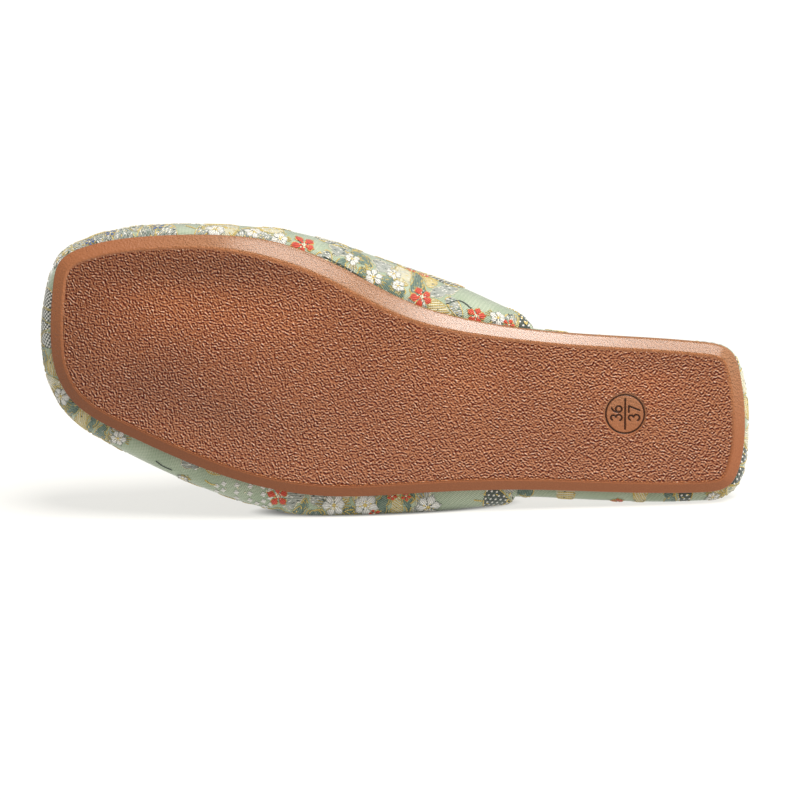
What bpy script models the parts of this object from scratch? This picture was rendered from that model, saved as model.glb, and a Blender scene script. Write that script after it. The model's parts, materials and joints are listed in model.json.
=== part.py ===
"""Embroidered mule slipper for the right foot, lying on its outer side.

Every piece is worked out in the frame of the last: "along" runs from the back of the heel to the toe,
"across" from the line of the outer edge to the inner side, "up" from the tread. All these are millimetres.
One empty then lays the finished shoe on its outer flank and on the outer rim of its heel.
"""
import math

import bmesh
import bpy
import numpy as np

MM = 0.001

# Driving sizes of the last, in millimetres
SOLE_LENGTH = 244.0
BALL_WIDTH = 92.0
INSTEP_HEIGHT = 58.0
TOE_BOX_HEIGHT = 27.0
HEEL_RISE = 1.0
HEEL_RISE_START = 110.0
HEEL_RISE_RUN = 70.0
TOE_SPRING = 5.0
TOE_SPRING_START = 166.0

# Thicknesses and clearances, in millimetres
SOLE_THICKNESS = 5.0
UPPER_WALL = 2.0
FOOTBED_THICKNESS = 6.7
INSOLE_THICKNESS = 2.2
GAP = 0.3

# How the shoe lies: the sole leans back from upright, and the heel comes down to the floor
LEAN_BACK_DEG = 5.0
HEEL_DOWN_DEG = 2.2
RIM_PRESS = 0.2

# Stations round the last, from the back of the heel along the outer side to the toe and home again.
# along: percent of the sole's length; across: percent of the ball width
# flare: how far the upper's widest line stands outside the sole's edge, in mm
# belly: height of that widest line above the top of the sole, in mm
# rim: how far the wrapped footbed stands outside the sole's edge, in mm
LAST_COLUMNS = ("along", "across", "flare", "belly", "rim")
LAST = (
    ("heel back", 0.0, 29.3, 4.0, 6.0, 1.9),
    ("heel back, outer", 0.5, 12.5, 4.5, 6.0, 2.6),
    ("heel corner, outer", 2.1, 3.3, 5.0, 6.0, 3.4),
    ("heel side, outer", 6.6, 0.4, 5.5, 5.5, 3.8),
    ("waist, outer", 32.8, 1.5, 6.2, 5.5, 3.4),
    ("ball rear, outer", 48.4, 0.0, 8.9, 5.5, 3.4),
    ("ball, outer", 58.6, -1.1, 8.7, 5.5, 3.4),
    ("ball front, outer", 67.6, 1.5, 8.1, 5.8, 3.0),
    ("toe side, outer", 77.9, 9.6, 7.6, 6.5, 2.4),
    ("toe side front, outer", 89.8, 23.3, 6.9, 7.0, 1.4),
    ("toe corner, outer", 97.3, 36.4, 5.7, 7.5, 0.4),
    ("toe front, outer", 99.4, 47.2, 4.9, 8.0, 0.0),
    ("toe front", 100.0, 62.0, 4.5, 8.0, -0.2),
    ("toe front, inner", 99.6, 78.3, 3.3, 8.0, -0.5),
    ("toe corner, inner", 98.5, 88.5, 2.4, 8.5, -0.8),
    ("toe side, inner", 94.7, 94.3, 2.8, 9.0, -1.0),
    ("ball front, inner", 86.9, 98.0, 3.6, 9.0, -0.7),
    ("ball, inner", 77.9, 98.9, 3.2, 9.5, -0.8),
    ("ball rear, inner", 67.6, 96.2, 4.0, 11.0, 0.0),
    ("waist front, inner", 57.4, 85.7, 6.9, 16.0, 1.0),
    ("waist, inner", 48.4, 73.5, 9.8, 19.0, 1.0),
    ("waist rear, inner", 38.9, 66.3, 9.8, 17.0, 0.4),
    ("heel front, inner", 24.6, 61.5, 1.6, 9.0, -0.4),
    ("heel side, inner", 6.6, 58.3, 3.5, 6.0, -0.4),
    ("heel corner, inner", 2.1, 54.6, 3.5, 6.0, 0.4),
    ("heel back, inner", 0.66, 44.6, 3.5, 6.0, 1.7),
)
TOE_STATION = 12

# Profile of the outsole from the tread's edge to the top of its side.
# inset: distance inside the sole's edge, up: height above the tread's rim, in mm
# rise: share of the heel's rise that the line takes part in
OUTSOLE_PROFILE = (
    ("tread edge", 5.0, 0.5, 0.0),
    ("inner foot of the rim", 4.5, 0.12, 0.0),
    ("rim crest, inner", 4.1, 0.0, 0.0),
    ("rim crest, outer", 3.3, 0.0, 0.0),
    ("rim bevel", 1.7, 0.6, 0.0),
    ("rim shoulder", 0.5, 1.7, 0.2),
    ("side, low", 0.0, 3.0, 0.5),
    ("side, high", 0.15, SOLE_THICKNESS, 1.0),
)

# Profile of the wrapped footbed, from its underside to its top.
# inset: distance inside its outermost line, share: part of its thickness
FOOTBED_PROFILE = (
    ("underside", 5.0, 0.0),
    ("lower turn", 2.3, 0.04),
    ("lower side", 0.7, 0.22),
    ("outermost line", 0.0, 0.5),
    ("upper side", 0.5, 0.78),
    ("upper turn", 1.6, 0.96),
    ("top", 3.2, 1.0),
)
INSOLE_PROFILE = (
    ("underside", 0.3, 0.0),
    ("side", 0.0, 0.4),
    ("upper turn", 0.5, 0.85),
    ("top", 1.8, 1.0),
)
INSOLE_INSET = 1.0

# Where the footbed steps up from the sole onto the turned-in edge of the upper
SEAT_STEP_START = 57.0
SEAT_STEP_RUN = 15.0

# The upper: where its collar starts on each side, its ridge from throat to toe, and its sections
COLLAR_OUTER_ALONG = 79.0
COLLAR_INNER_ALONG = 73.5
THROAT = (118.0, 36.0)
RIDGE_TOE = (218.0, 57.0)
RIDGE_PACE = 1.35
INSTEP_FALL = 1.5
SECTION_SQUARENESS = 2.4
FEATHER_INSET = 0.5
LOW_SWEEP = 0.6
LOW_SWEEP_POWER = 0.7
LASTING_MARGIN = 8.0

# Mesh steps
OUTLINE_STEPS = 56
UPPER_ROWS = 30
ROLL_STEPS = 5
CROWN_STEPS = 14
MARGIN_STEPS = 2
FINE_STEPS = 4000
END_CROWDING = 2.2
END_REACH = 22.0
SHARP_EDGE_DEG = 40.0


class Last:
    """A smooth closed curve through the stations, carrying every column of the table."""

    def __init__(self):
        values = np.array([row[1:] for row in LAST])
        values[:, 0] *= SOLE_LENGTH / 100
        values[:, 1] *= BALL_WIDTH / 100
        following = np.roll(values, -1, axis=0)
        steps = np.linalg.norm(following[:, :2] - values[:, :2], axis=1)
        self.values = values
        self.knots = np.concatenate(([0.0], np.cumsum(steps)))
        self.bends = self.solve_bends(values, following, steps)
        self.length = self.knots[-1]
        self.toe = self.knots[TOE_STATION]

    @staticmethod
    def solve_bends(values, following, steps):
        """Second derivatives at the stations of the periodic cubic spline."""
        count = len(values)
        slopes = (following - values) / steps[:, None]
        system = np.zeros((count, count))
        for i in range(count):
            system[i, i - 1] += steps[i - 1]
            system[i, i] += 2 * (steps[i - 1] + steps[i])
            system[i, (i + 1) % count] += steps[i]
        return np.linalg.solve(system, 6 * (slopes - np.roll(slopes, 1, axis=0)))

    def at(self, place):
        """All columns, and the outward direction, at distances round the last."""
        place = np.mod(place, self.length)
        i = np.clip(np.searchsorted(self.knots, place, side="right") - 1, 0, len(self.values) - 1)
        j = (i + 1) % len(self.values)
        step = (self.knots[i + 1] - self.knots[i])[:, None]
        a = (self.knots[i + 1] - place)[:, None]
        b = (place - self.knots[i])[:, None]
        start = self.values[i] / step - self.bends[i] * step / 6
        end = self.values[j] / step - self.bends[j] * step / 6
        value = (self.bends[i] * a**3 + self.bends[j] * b**3) / (6 * step) + start * a + end * b
        slope = (self.bends[j] * b**2 - self.bends[i] * a**2) / (2 * step) - start + end
        heading = slope[:, :2] / np.linalg.norm(slope[:, :2], axis=1, keepdims=True)
        outward = np.stack((heading[:, 1], -heading[:, 0]), axis=1)
        return dict(zip(LAST_COLUMNS, value.T)), value[:, :2], outward


last = Last()


def crowded_places(start, end, count):
    """Distances round the last from start to end, closer together at the heel and the toe."""
    fine = np.linspace(start, end, FINE_STEPS)
    columns, points, _ = last.at(fine)
    near_end = np.minimum(columns["along"], SOLE_LENGTH - columns["along"])
    density = 1 + END_CROWDING * np.exp(-((near_end / END_REACH) ** 2))
    length = np.linalg.norm(np.diff(points, axis=0), axis=1)
    share = np.concatenate(([0.0], np.cumsum(length * density[1:])))
    return np.interp(np.linspace(0, share[-1], count + 1), share, fine)


def place_at_along(along, start, end):
    """Distance round the last, between start and end, where it passes the given length."""
    fine = np.linspace(start, end, FINE_STEPS)
    columns, _, _ = last.at(fine)
    return fine[np.argmin(np.abs(columns["along"] - along))]


def smooth_step(value):
    """Rises from 0 to 1 without a corner."""
    value = np.clip(value, 0, 1)
    return value * value * (3 - 2 * value)


def spring(along):
    """How far the forefoot curls up towards the toe."""
    return TOE_SPRING * (np.maximum(along - TOE_SPRING_START, 0) / (SOLE_LENGTH - TOE_SPRING_START)) ** 2


def heel_wedge(along):
    """How far the sole's top rises towards the heel."""
    return HEEL_RISE * smooth_step((HEEL_RISE_START - along) / HEEL_RISE_RUN)


def sole_top(along):
    """Height of the sole's top face: a low wedge at the heel, and the toe spring."""
    return SOLE_THICKNESS + heel_wedge(along) + spring(along)


def to_shoe(along, across, up):
    """Millimetres on the last to metres in the standing shoe's frame, toe towards -X, outer side +Y."""
    return np.stack((-along, -across, up), axis=-1) * MM


def lying_rotation():
    """Turns the standing shoe onto its outer side, as the empty does."""
    turn = math.radians(-90 - LEAN_BACK_DEG)
    dip = math.radians(HEEL_DOWN_DEG)
    about_x = np.array(((1, 0, 0), (0, math.cos(turn), -math.sin(turn)), (0, math.sin(turn), math.cos(turn))))
    about_y = np.array(((math.cos(dip), 0, math.sin(dip)), (0, 1, 0), (-math.sin(dip), 0, math.cos(dip))))
    return about_y @ about_x


ROTATION = lying_rotation()
FLOOR_UP = ROTATION[2]


def press_to_floor(points, floor):
    """Flattens what would sink below the floor, as soft stuff does under the shoe's weight."""
    depth = np.minimum(points @ FLOOR_UP - floor, 0)
    return points - depth[..., None] * FLOOR_UP


outline = np.concatenate(
    (
        crowded_places(0, last.toe, OUTLINE_STEPS)[:-1],
        crowded_places(last.toe, last.length, OUTLINE_STEPS)[:-1],
    )
)
OUTLINE_COLUMNS, OUTLINE_POINTS, OUTLINE_OUTWARD = last.at(outline)


def ring(outset, height):
    """One loop round the last, a given distance outside the sole's edge; height is a function of along."""
    flat = OUTLINE_POINTS + OUTLINE_OUTWARD * np.broadcast_to(outset, len(outline))[:, None]
    return to_shoe(flat[:, 0], flat[:, 1], height(flat[:, 0]))


def lofted_solid(name, rings):
    """A closed body through loops from its underside out and up to its top face."""
    mesh = bmesh.new()
    loops = [[mesh.verts.new(point) for point in loop] for loop in rings]
    count = len(outline)
    for low, high in zip(loops, loops[1:]):
        for i in range(count):
            j = (i + 1) % count
            mesh.faces.new((low[i], low[j], high[j], high[i]))
    for i in range(OUTLINE_STEPS):
        corners = (i, i + 1, -i - 1, -i)
        mesh.faces.new([loops[-1][k] for k in dict.fromkeys(k % count for k in corners)])
        mesh.faces.new([loops[0][k] for k in dict.fromkeys(k % count for k in corners[::-1])])
    return new_object(name, mesh)


def new_object(name, mesh):
    """Turns a bmesh into a smooth shaded object of the scene."""
    data = bpy.data.meshes.new(name)
    mesh.to_mesh(data)
    mesh.free()
    data.shade_smooth()
    data.set_sharp_from_angle(angle=math.radians(SHARP_EDGE_DEG))
    made = bpy.data.objects.new(name, data)
    bpy.context.scene.collection.objects.link(made)
    return made


def outsole():
    """The moulded sole: sunk tread, bevelled rim, plain side and flat top."""

    def height(up, rise):
        return lambda along: spring(along) + up + rise * heel_wedge(along)

    return lofted_solid("outsole", [ring(-inset, height(up, rise)) for _, inset, up, rise in OUTSOLE_PROFILE])


def footbed_seat(along):
    """Height of the footbed's underside: on the sole at the heel, on the turned-in upper before it."""
    stand_off = GAP + smooth_step((along - SEAT_STEP_START) / SEAT_STEP_RUN) * (UPPER_WALL + GAP)
    return sole_top(along) + stand_off


def footbed_top(along):
    """Height of the footbed's upper face."""
    return sole_top(along) + GAP + FOOTBED_THICKNESS


def footbed_rings():
    """Loops of the footbed, whose edge is wrapped in cloth and stands proud of the sole at the heel."""
    rim = OUTLINE_COLUMNS["rim"]

    def height(share):
        return lambda along: footbed_seat(along) + share * (footbed_top(along) - footbed_seat(along))

    return [ring(rim - inset, height(share)) for _, inset, share in FOOTBED_PROFILE]


def insole():
    """The thin sock that lies on the footbed."""
    edge = np.minimum(OUTLINE_COLUMNS["rim"] - INSOLE_INSET, 0)

    def height(share):
        return lambda along: footbed_top(along) + GAP + share * INSOLE_THICKNESS

    return lofted_solid("insole", [ring(edge - inset, height(share)) for _, inset, share in INSOLE_PROFILE])


def vamp_height(along):
    """Height of the upper's ridge above the sole's top, falling from the instep to the toe box."""
    reach = np.maximum((RIDGE_TOE[0] - along) / (RIDGE_TOE[0] - THROAT[0]), 0)
    return TOE_BOX_HEIGHT + (INSTEP_HEIGHT - TOE_BOX_HEIGHT) * reach**INSTEP_FALL


def crown_angles():
    """Angles that divide the squarish quarter round of a section into even steps."""
    fine = np.linspace(0, math.pi / 2, FINE_STEPS)
    power = 2 / SECTION_SQUARENESS
    curve = np.stack((np.abs(np.cos(fine)) ** power, np.sin(fine) ** power), axis=1)
    length = np.concatenate(([0.0], np.cumsum(np.linalg.norm(np.diff(curve, axis=0), axis=1))))
    return np.interp(np.linspace(0, length[-1], CROWN_STEPS + 1), length, fine)


def upper_side(places, shares):
    """Rows of the upper's outer face up one side, each from its lasting margin over the belly to the ridge.

    shares: part of the way from collar to toe, which sets where each row meets the ridge
    """
    columns, edge, outward = last.at(places)
    flare, belly = columns["flare"][:, None], columns["belly"][:, None]
    ridge_share = (1 - (1 - shares) ** RIDGE_PACE)[:, None]
    ridge = np.array(THROAT) + ridge_share * (np.array(RIDGE_TOE) - np.array(THROAT))

    margin = np.linspace(LASTING_MARGIN, FEATHER_INSET, MARGIN_STEPS + 1)[None, :-1]
    roll = np.linspace(0, math.pi / 2, ROLL_STEPS + 1)[None, :]
    crown = crown_angles()[None, 1:]
    power = 2 / SECTION_SQUARENESS
    inward = 1 - np.abs(np.cos(crown)) ** power
    climb = np.sin(crown) ** power

    rows = len(places)
    out = np.concatenate(
        (
            np.repeat(-margin, rows, axis=0),
            -FEATHER_INSET + (flare + FEATHER_INSET) * np.sin(roll),
            np.repeat(flare, CROWN_STEPS, axis=1),
        ),
        axis=1,
    )
    low = np.concatenate(
        (
            np.full((rows, MARGIN_STEPS), GAP),
            GAP + (belly - GAP) * (1 - np.cos(roll)),
            np.repeat(belly, CROWN_STEPS, axis=1),
        ),
        axis=1,
    )
    plain = MARGIN_STEPS + ROLL_STEPS + 1
    inward = np.concatenate((np.zeros(plain), inward[0]))
    climb = np.concatenate((np.zeros(plain), climb[0]))

    heading = np.stack((-outward[:, 1], outward[:, 0]), axis=1)
    widest = edge + outward * flare
    to_ridge = ridge - widest
    toward = np.sum(to_ridge * outward, axis=1)[:, None]
    forward = np.sum(to_ridge * heading, axis=1)[:, None]
    height_share = low / vamp_height(edge[:, :1])
    height_share = height_share + (1 - height_share) * climb
    collar_sweep = LOW_SWEEP * height_share**LOW_SWEEP_POWER + (1 - LOW_SWEEP) * (1 - (1 - inward) ** 2)
    sweep = collar_sweep + (inward - collar_sweep) * shares[:, None]
    flat = (
        edge[:, None, :]
        + outward[:, None, :] * (out + toward * inward)[..., None]
        + heading[:, None, :] * (forward * sweep)[..., None]
    )
    along, across = flat[..., 0], flat[..., 1]
    up = sole_top(along) + low + (vamp_height(along) - spring(along) - low) * climb
    return to_shoe(along, across, up)


def upper_sheet():
    """The upper's outer face: the rows of both sides, which share the toe row and the ridge."""
    outer_start = place_at_along(COLLAR_OUTER_ALONG, 0, last.toe / 2)
    inner_start = place_at_along(COLLAR_INNER_ALONG, last.toe + (last.length - last.toe) / 2, last.length)
    outer = crowded_places(outer_start, last.toe, UPPER_ROWS)
    shares = (outer - outer_start) / (last.toe - outer_start)
    inner = inner_start + shares * (last.toe - inner_start)
    return upper_side(outer, shares), upper_side(inner, shares)


def upper(floor):
    """The hollow upper: its outer face, pressed flat where it lies, given its wall inwards."""
    outer, inner = (press_to_floor(side, floor) for side in upper_sheet())
    mesh = bmesh.new()
    columns = outer.shape[1]
    outer_verts = [[mesh.verts.new(point) for point in row] for row in outer]
    inner_verts = [[mesh.verts.new(point) for point in row[:-1]] for row in inner[:-1]]
    inner_verts = [row + [outer_verts[i][-1]] for i, row in enumerate(inner_verts)] + [outer_verts[-1]]
    for i in range(UPPER_ROWS):
        for j in range(columns - 1):
            near, far = outer_verts[i], outer_verts[i + 1]
            mesh.faces.new((near[j], far[j], far[j + 1], near[j + 1]))
            near, far = inner_verts[i], inner_verts[i + 1]
            mesh.faces.new((near[j], near[j + 1], far[j + 1], far[j]))
    made = new_object("upper", mesh)
    wall = made.modifiers.new("wall", "SOLIDIFY")
    wall.thickness = UPPER_WALL * MM
    wall.offset = -1
    wall.use_even_offset = True
    return made


def finish(name, colour, roughness):
    """A plain finish with a base colour and a roughness."""
    made = bpy.data.materials.new(name)
    made.use_nodes = True
    shader = made.node_tree.nodes["Principled BSDF"]
    shader.inputs["Base Color"].default_value = (*colour, 1)
    shader.inputs["Roughness"].default_value = roughness
    shader.inputs["Metallic"].default_value = 0
    return made


def lay_down(pieces, floor):
    """Parents the pieces to one empty that lays the shoe on its side, centred over the origin."""
    pose = bpy.data.objects.new("lying pose", None)
    bpy.context.scene.collection.objects.link(pose)
    pose.rotation_euler = (math.radians(-90 - LEAN_BACK_DEG), math.radians(HEEL_DOWN_DEG), 0)
    corners = np.concatenate([[vertex.co for vertex in piece.data.vertices] for piece in pieces])
    lying = corners @ ROTATION.T
    middle = (lying.min(axis=0) + lying.max(axis=0)) / 2
    pose.location = (-middle[0], -middle[1], -floor)
    for piece in pieces:
        piece.parent = pose


for leftover in list(bpy.data.objects):
    bpy.data.objects.remove(leftover)

rubber = finish("brown rubber", (0.37, 0.14, 0.07), 0.5)
brocade = finish("sage brocade", (0.3, 0.43, 0.31), 0.55)
sock_cloth = finish("pale sock cloth", (0.62, 0.55, 0.42), 0.8)

rim_loops = footbed_rings()
floor_level = min(float((loop @ FLOOR_UP).min()) for loop in rim_loops) + RIM_PRESS * MM
footbed = lofted_solid("footbed", [press_to_floor(loop, floor_level) for loop in rim_loops])

made_pieces = (
    (outsole(), rubber),
    (footbed, brocade),
    (upper(floor_level), brocade),
    (insole(), sock_cloth),
)
for piece, look in made_pieces:
    piece.data.materials.append(look)
lay_down([piece for piece, _ in made_pieces], floor_level)
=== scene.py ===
"""Looks of an embroidered mule slipper that lies on its outer side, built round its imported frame.

Shapes are worked out on the last, in millimetres: "along" runs from the back of the heel to the toe, "across"
from the line of the outer edge to the inner side, "up" from the tread. lay() puts them where the frame lies.
The brocade is drawn flat, in millimetres on the cloth as it was cut, and wrapped onto upper and footbed.
"""
import json
import math

import bpy
import numpy as np
from mathutils import Matrix, Vector
from mathutils.bvhtree import BVHTree
from mathutils.geometry import barycentric_transform, delaunay_2d_cdt
from mathutils.kdtree import KDTree

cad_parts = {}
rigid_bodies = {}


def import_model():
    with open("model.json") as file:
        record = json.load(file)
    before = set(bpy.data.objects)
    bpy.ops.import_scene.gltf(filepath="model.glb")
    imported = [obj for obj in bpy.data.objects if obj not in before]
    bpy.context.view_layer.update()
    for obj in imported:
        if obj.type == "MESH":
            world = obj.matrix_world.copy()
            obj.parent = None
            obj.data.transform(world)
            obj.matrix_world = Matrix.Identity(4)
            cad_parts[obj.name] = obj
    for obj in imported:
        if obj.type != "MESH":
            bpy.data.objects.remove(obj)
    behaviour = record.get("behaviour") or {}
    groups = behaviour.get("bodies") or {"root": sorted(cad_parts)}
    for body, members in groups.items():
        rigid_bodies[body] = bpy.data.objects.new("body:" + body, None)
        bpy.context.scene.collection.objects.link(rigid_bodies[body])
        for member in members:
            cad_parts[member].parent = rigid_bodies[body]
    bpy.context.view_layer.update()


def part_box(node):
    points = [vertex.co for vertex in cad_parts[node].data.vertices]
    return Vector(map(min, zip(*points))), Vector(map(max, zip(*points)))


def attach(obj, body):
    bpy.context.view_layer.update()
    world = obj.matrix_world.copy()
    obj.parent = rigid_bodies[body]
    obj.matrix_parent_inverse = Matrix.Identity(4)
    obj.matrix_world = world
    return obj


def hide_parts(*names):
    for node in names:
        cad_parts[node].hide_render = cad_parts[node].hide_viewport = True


for leftover in list(bpy.data.objects):
    bpy.data.objects.remove(leftover)
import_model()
MM = 0.001

# Driving sizes of the last, in millimetres
SOLE_LENGTH = 244.0
BALL_WIDTH = 92.0
INSTEP_HEIGHT = 58.0
TOE_BOX_HEIGHT = 27.0
HEEL_RISE = 1.0
HEEL_RISE_START = 110.0
HEEL_RISE_RUN = 70.0
TOE_SPRING = 5.0
TOE_SPRING_START = 166.0
SOLE_THICKNESS = 5.0
UPPER_WALL = 2.0
FOOTBED_THICKNESS = 6.7
INSOLE_THICKNESS = 2.2
GAP = 0.3

# How the slipper lies: the sole leans back from upright, and the heel comes down to the floor
LEAN_BACK_DEG = 5.0
HEEL_DOWN_DEG = 2.2

# Stations round the last, from the back of the heel along the outer side to the toe and home again.
# along: percent of the sole's length; across: percent of the ball width
# flare: how far the upper's widest line stands outside the sole's edge, in mm
# belly: height of that widest line above the top of the sole, in mm
# rim: how far the wrapped footbed stands outside the sole's edge, in mm
LAST_COLUMNS = ("along", "across", "flare", "belly", "rim")
LAST = (
    ("heel back", 0.0, 29.3, 4.0, 6.0, 1.9),
    ("heel back, outer", 0.5, 12.5, 4.5, 6.0, 2.6),
    ("heel corner, outer", 2.1, 3.3, 5.0, 6.0, 3.4),
    ("heel side, outer", 6.6, 0.4, 5.5, 5.5, 3.8),
    ("waist, outer", 32.8, 1.5, 6.2, 5.5, 3.4),
    ("ball rear, outer", 48.4, 0.0, 8.9, 5.5, 3.4),
    ("ball, outer", 58.6, -1.1, 8.7, 5.5, 3.4),
    ("ball front, outer", 67.6, 1.5, 8.1, 5.8, 3.0),
    ("toe side, outer", 77.9, 9.6, 7.6, 6.5, 2.4),
    ("toe side front, outer", 89.8, 23.3, 6.9, 7.0, 1.4),
    ("toe corner, outer", 97.3, 36.4, 5.7, 7.5, 0.4),
    ("toe front, outer", 99.4, 47.2, 4.9, 8.0, 0.0),
    ("toe front", 100.0, 62.0, 4.5, 8.0, -0.2),
    ("toe front, inner", 99.6, 78.3, 3.3, 8.0, -0.5),
    ("toe corner, inner", 98.5, 88.5, 2.4, 8.5, -0.8),
    ("toe side, inner", 94.7, 94.3, 2.8, 9.0, -1.0),
    ("ball front, inner", 86.9, 98.0, 3.6, 9.0, -0.7),
    ("ball, inner", 77.9, 98.9, 3.2, 9.5, -0.8),
    ("ball rear, inner", 67.6, 96.2, 4.0, 11.0, 0.0),
    ("waist front, inner", 57.4, 85.7, 6.9, 16.0, 1.0),
    ("waist, inner", 48.4, 73.5, 9.8, 19.0, 1.0),
    ("waist rear, inner", 38.9, 66.3, 9.8, 17.0, 0.4),
    ("heel front, inner", 24.6, 61.5, 1.6, 9.0, -0.4),
    ("heel side, inner", 6.6, 58.3, 3.5, 6.0, -0.4),
    ("heel corner, inner", 2.1, 54.6, 3.5, 6.0, 0.4),
    ("heel back, inner", 0.66, 44.6, 3.5, 6.0, 1.7),
)
TOE_STATION = 12
FINE_STEPS = 4000

# The outsole's section from the tread's edge to its top.
# inset: distance inside the sole's edge, up: height above the rim's crest, rise: share of the heel's rise
SOLE_PROFILE = (
    ("tread edge", 4.9, 0.38, 0.0),
    ("foot of the rim", 4.8, 0.34, 0.0),
    ("inner slope of the rim", 4.55, 0.14, 0.0),
    ("rim crest, inner", 4.3, 0.0, 0.0),
    ("rim crest, outer", 4.1, 0.0, 0.0),
    ("rim bevel, inner", 3.65, 0.16, 0.0),
    ("rim bevel, outer", 0.7, 1.92, 0.0),
    ("rim shoulder", 0.2, 2.25, 0.2),
    ("side, low", 0.02, 3.05, 0.5),
    ("side, high", 0.1, 4.4, 0.9),
    ("top edge", 0.5, 5.0, 1.0),
)
RIM_CREST_INSET = 4.3
# The inset at which the painted warm shade on the rim's inner slope begins, and how soon it is full
SLOPE_FROM = 3.75
SLOPE_RUN = 0.6
# On the inner side the rim swells from the waist to the ball, then narrows again towards the toe
RIM_SWELL = 0.44
RIM_SWELL_UP = 0.72
RIM_SWELL_FROM = 75.0
RIM_SWELL_RUN = 60.0
RIM_NARROW_FROM = 158.0
RIM_NARROW_RUN = 38.0
RIM_OUTER_CUT = 0.1
SOLE_PROFILE_STEPS = 26
SOLE_EDGE_STEP = 0.9
TREAD_UP = 0.38
TREAD_STEP = 0.47
GRAIN_SCALE = 0.78
GRAIN_WAVES = 1.2
GRAIN_ORDER = 0.4
GRAIN_HEEL_DEG = 80.0
GRAIN_TOE_DEG = 135.0
GRAIN_DEPTH = 0.1
GRAIN_BUMP = 1.0
SLOPE_GRAIN = 0.55
RIM_FADE = 0.3
MARK_FADE = 0.5

# Painted light and shade on the tread, where it looks lighter or, below zero, darker: a middle and a reach on
# the last, and how much
TREAD_PAINTED_LIGHT = (
    ("inner edge of the forefoot", (190.0, 80.0), (48.0, 7.0), -0.28),
    ("toe", (234.0, 52.0), (10.0, 26.0), -0.18),
    ("darker patch at the toe", (208.0, 38.0), (20.0, 12.0), -0.22),
    ("darker patch at the toe, behind", (184.0, 30.0), (14.0, 8.0), -0.16),
    ("outer ball", (160.0, 24.0), (24.0, 8.0), -0.1),
    ("band across the ball", (202.0, 66.0), (20.0, 8.0), 0.16),
    ("band across the ball, behind", (172.0, 61.0), (26.0, 9.0), 0.2),
    ("waist", (98.0, 41.0), (24.0, 10.0), 0.12),
    ("heel", (36.0, 38.0), (15.0, 9.0), 0.22),
    ("inner heel", (30.0, 47.0), (26.0, 4.0), -0.08),
)

# The size mark: a smooth round field in the tread with engraved strokes
MARK_PLACE = (42.4, 28.4)
MARK_FIELD = 7.25
MARK_RING = 6.75
MARK_BAR = 10.6
MARK_UP = 0.25
MARK_STROKE = 0.46
MARK_DEPTH = 0.4
MARK_STEP = 0.15
MARK_RIM_POINTS = 120
MARK_RING_POINTS = 400
MARK_BORDER = 0.3
STROKE_POINTS = 60
NUMERAL_HEIGHT = 3.9
NUMERAL_PACE = 2.95
NUMERAL_ROW = 3.1
NUMERAL_SHIFT = 0.55


class Last:
    """A smooth closed curve through the stations, carrying every column of the table."""

    def __init__(self):
        values = np.array([row[1:] for row in LAST])
        values[:, 0] *= SOLE_LENGTH / 100
        values[:, 1] *= BALL_WIDTH / 100
        following = np.roll(values, -1, axis=0)
        steps = np.linalg.norm(following[:, :2] - values[:, :2], axis=1)
        self.values = values
        self.knots = np.concatenate(([0.0], np.cumsum(steps)))
        self.bends = self.solve_bends(values, following, steps)
        self.length = self.knots[-1]
        self.toe = self.knots[TOE_STATION]

    @staticmethod
    def solve_bends(values, following, steps):
        """Second derivatives at the stations of the periodic cubic spline."""
        count = len(values)
        slopes = (following - values) / steps[:, None]
        system = np.zeros((count, count))
        for i in range(count):
            system[i, i - 1] += steps[i - 1]
            system[i, i] += 2 * (steps[i - 1] + steps[i])
            system[i, (i + 1) % count] += steps[i]
        return np.linalg.solve(system, 6 * (slopes - np.roll(slopes, 1, axis=0)))

    def at(self, place):
        """All columns, and the outward direction, at distances round the last."""
        place = np.mod(place, self.length)
        i = np.clip(np.searchsorted(self.knots, place, side="right") - 1, 0, len(self.values) - 1)
        j = (i + 1) % len(self.values)
        step = (self.knots[i + 1] - self.knots[i])[:, None]
        a = (self.knots[i + 1] - place)[:, None]
        b = (place - self.knots[i])[:, None]
        start = self.values[i] / step - self.bends[i] * step / 6
        end = self.values[j] / step - self.bends[j] * step / 6
        value = (self.bends[i] * a**3 + self.bends[j] * b**3) / (6 * step) + start * a + end * b
        slope = (self.bends[j] * b**2 - self.bends[i] * a**2) / (2 * step) - start + end
        heading = slope[:, :2] / np.linalg.norm(slope[:, :2], axis=1, keepdims=True)
        outward = np.stack((heading[:, 1], -heading[:, 0]), axis=1)
        return dict(zip(LAST_COLUMNS, value.T)), value[:, :2], outward


last = Last()


def even_places(step):
    """Distances round the last, an even number of them, about a step apart."""
    count = 2 * round(last.length / step / 2)
    return np.linspace(0, last.length, count + 1)[:-1]


def place_at_along(along, start, end):
    """Distance round the last, between start and end, where it passes the given length."""
    fine = np.linspace(start, end, FINE_STEPS)
    columns, _, _ = last.at(fine)
    return fine[np.argmin(np.abs(columns["along"] - along))]


def smooth_step(value):
    """Rises from 0 to 1 without a corner."""
    value = np.clip(value, 0, 1)
    return value * value * (3 - 2 * value)


def run_along(line):
    """Distance along a line to each of its points."""
    return np.concatenate(([0.0], np.cumsum(np.linalg.norm(np.diff(line, axis=0), axis=1))))


def smooth_line(points, count):
    """Evenly spaced points on a smooth line through a few points."""
    points = np.asarray(points, float)
    ends = np.concatenate((2 * points[:1] - points[1:2], points, 2 * points[-1:] - points[-2:-1]))
    place = np.linspace(0, len(points) - 1, FINE_STEPS)
    i = np.minimum(place.astype(int), len(points) - 2)
    t = (place - i)[:, None]
    a, b, c, d = (ends[i + k] for k in range(4))
    fine = b + 0.5 * t * (c - a + t * (2 * a - 5 * b + 4 * c - d + t * (3 * (b - c) + d - a)))
    length = run_along(fine)
    even = np.linspace(0, length[-1], count)
    return np.stack([np.interp(even, length, column) for column in fine.T], axis=1)


def direction(angle):
    """The unit step at an angle."""
    return np.array((math.cos(angle), math.sin(angle)))


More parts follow.
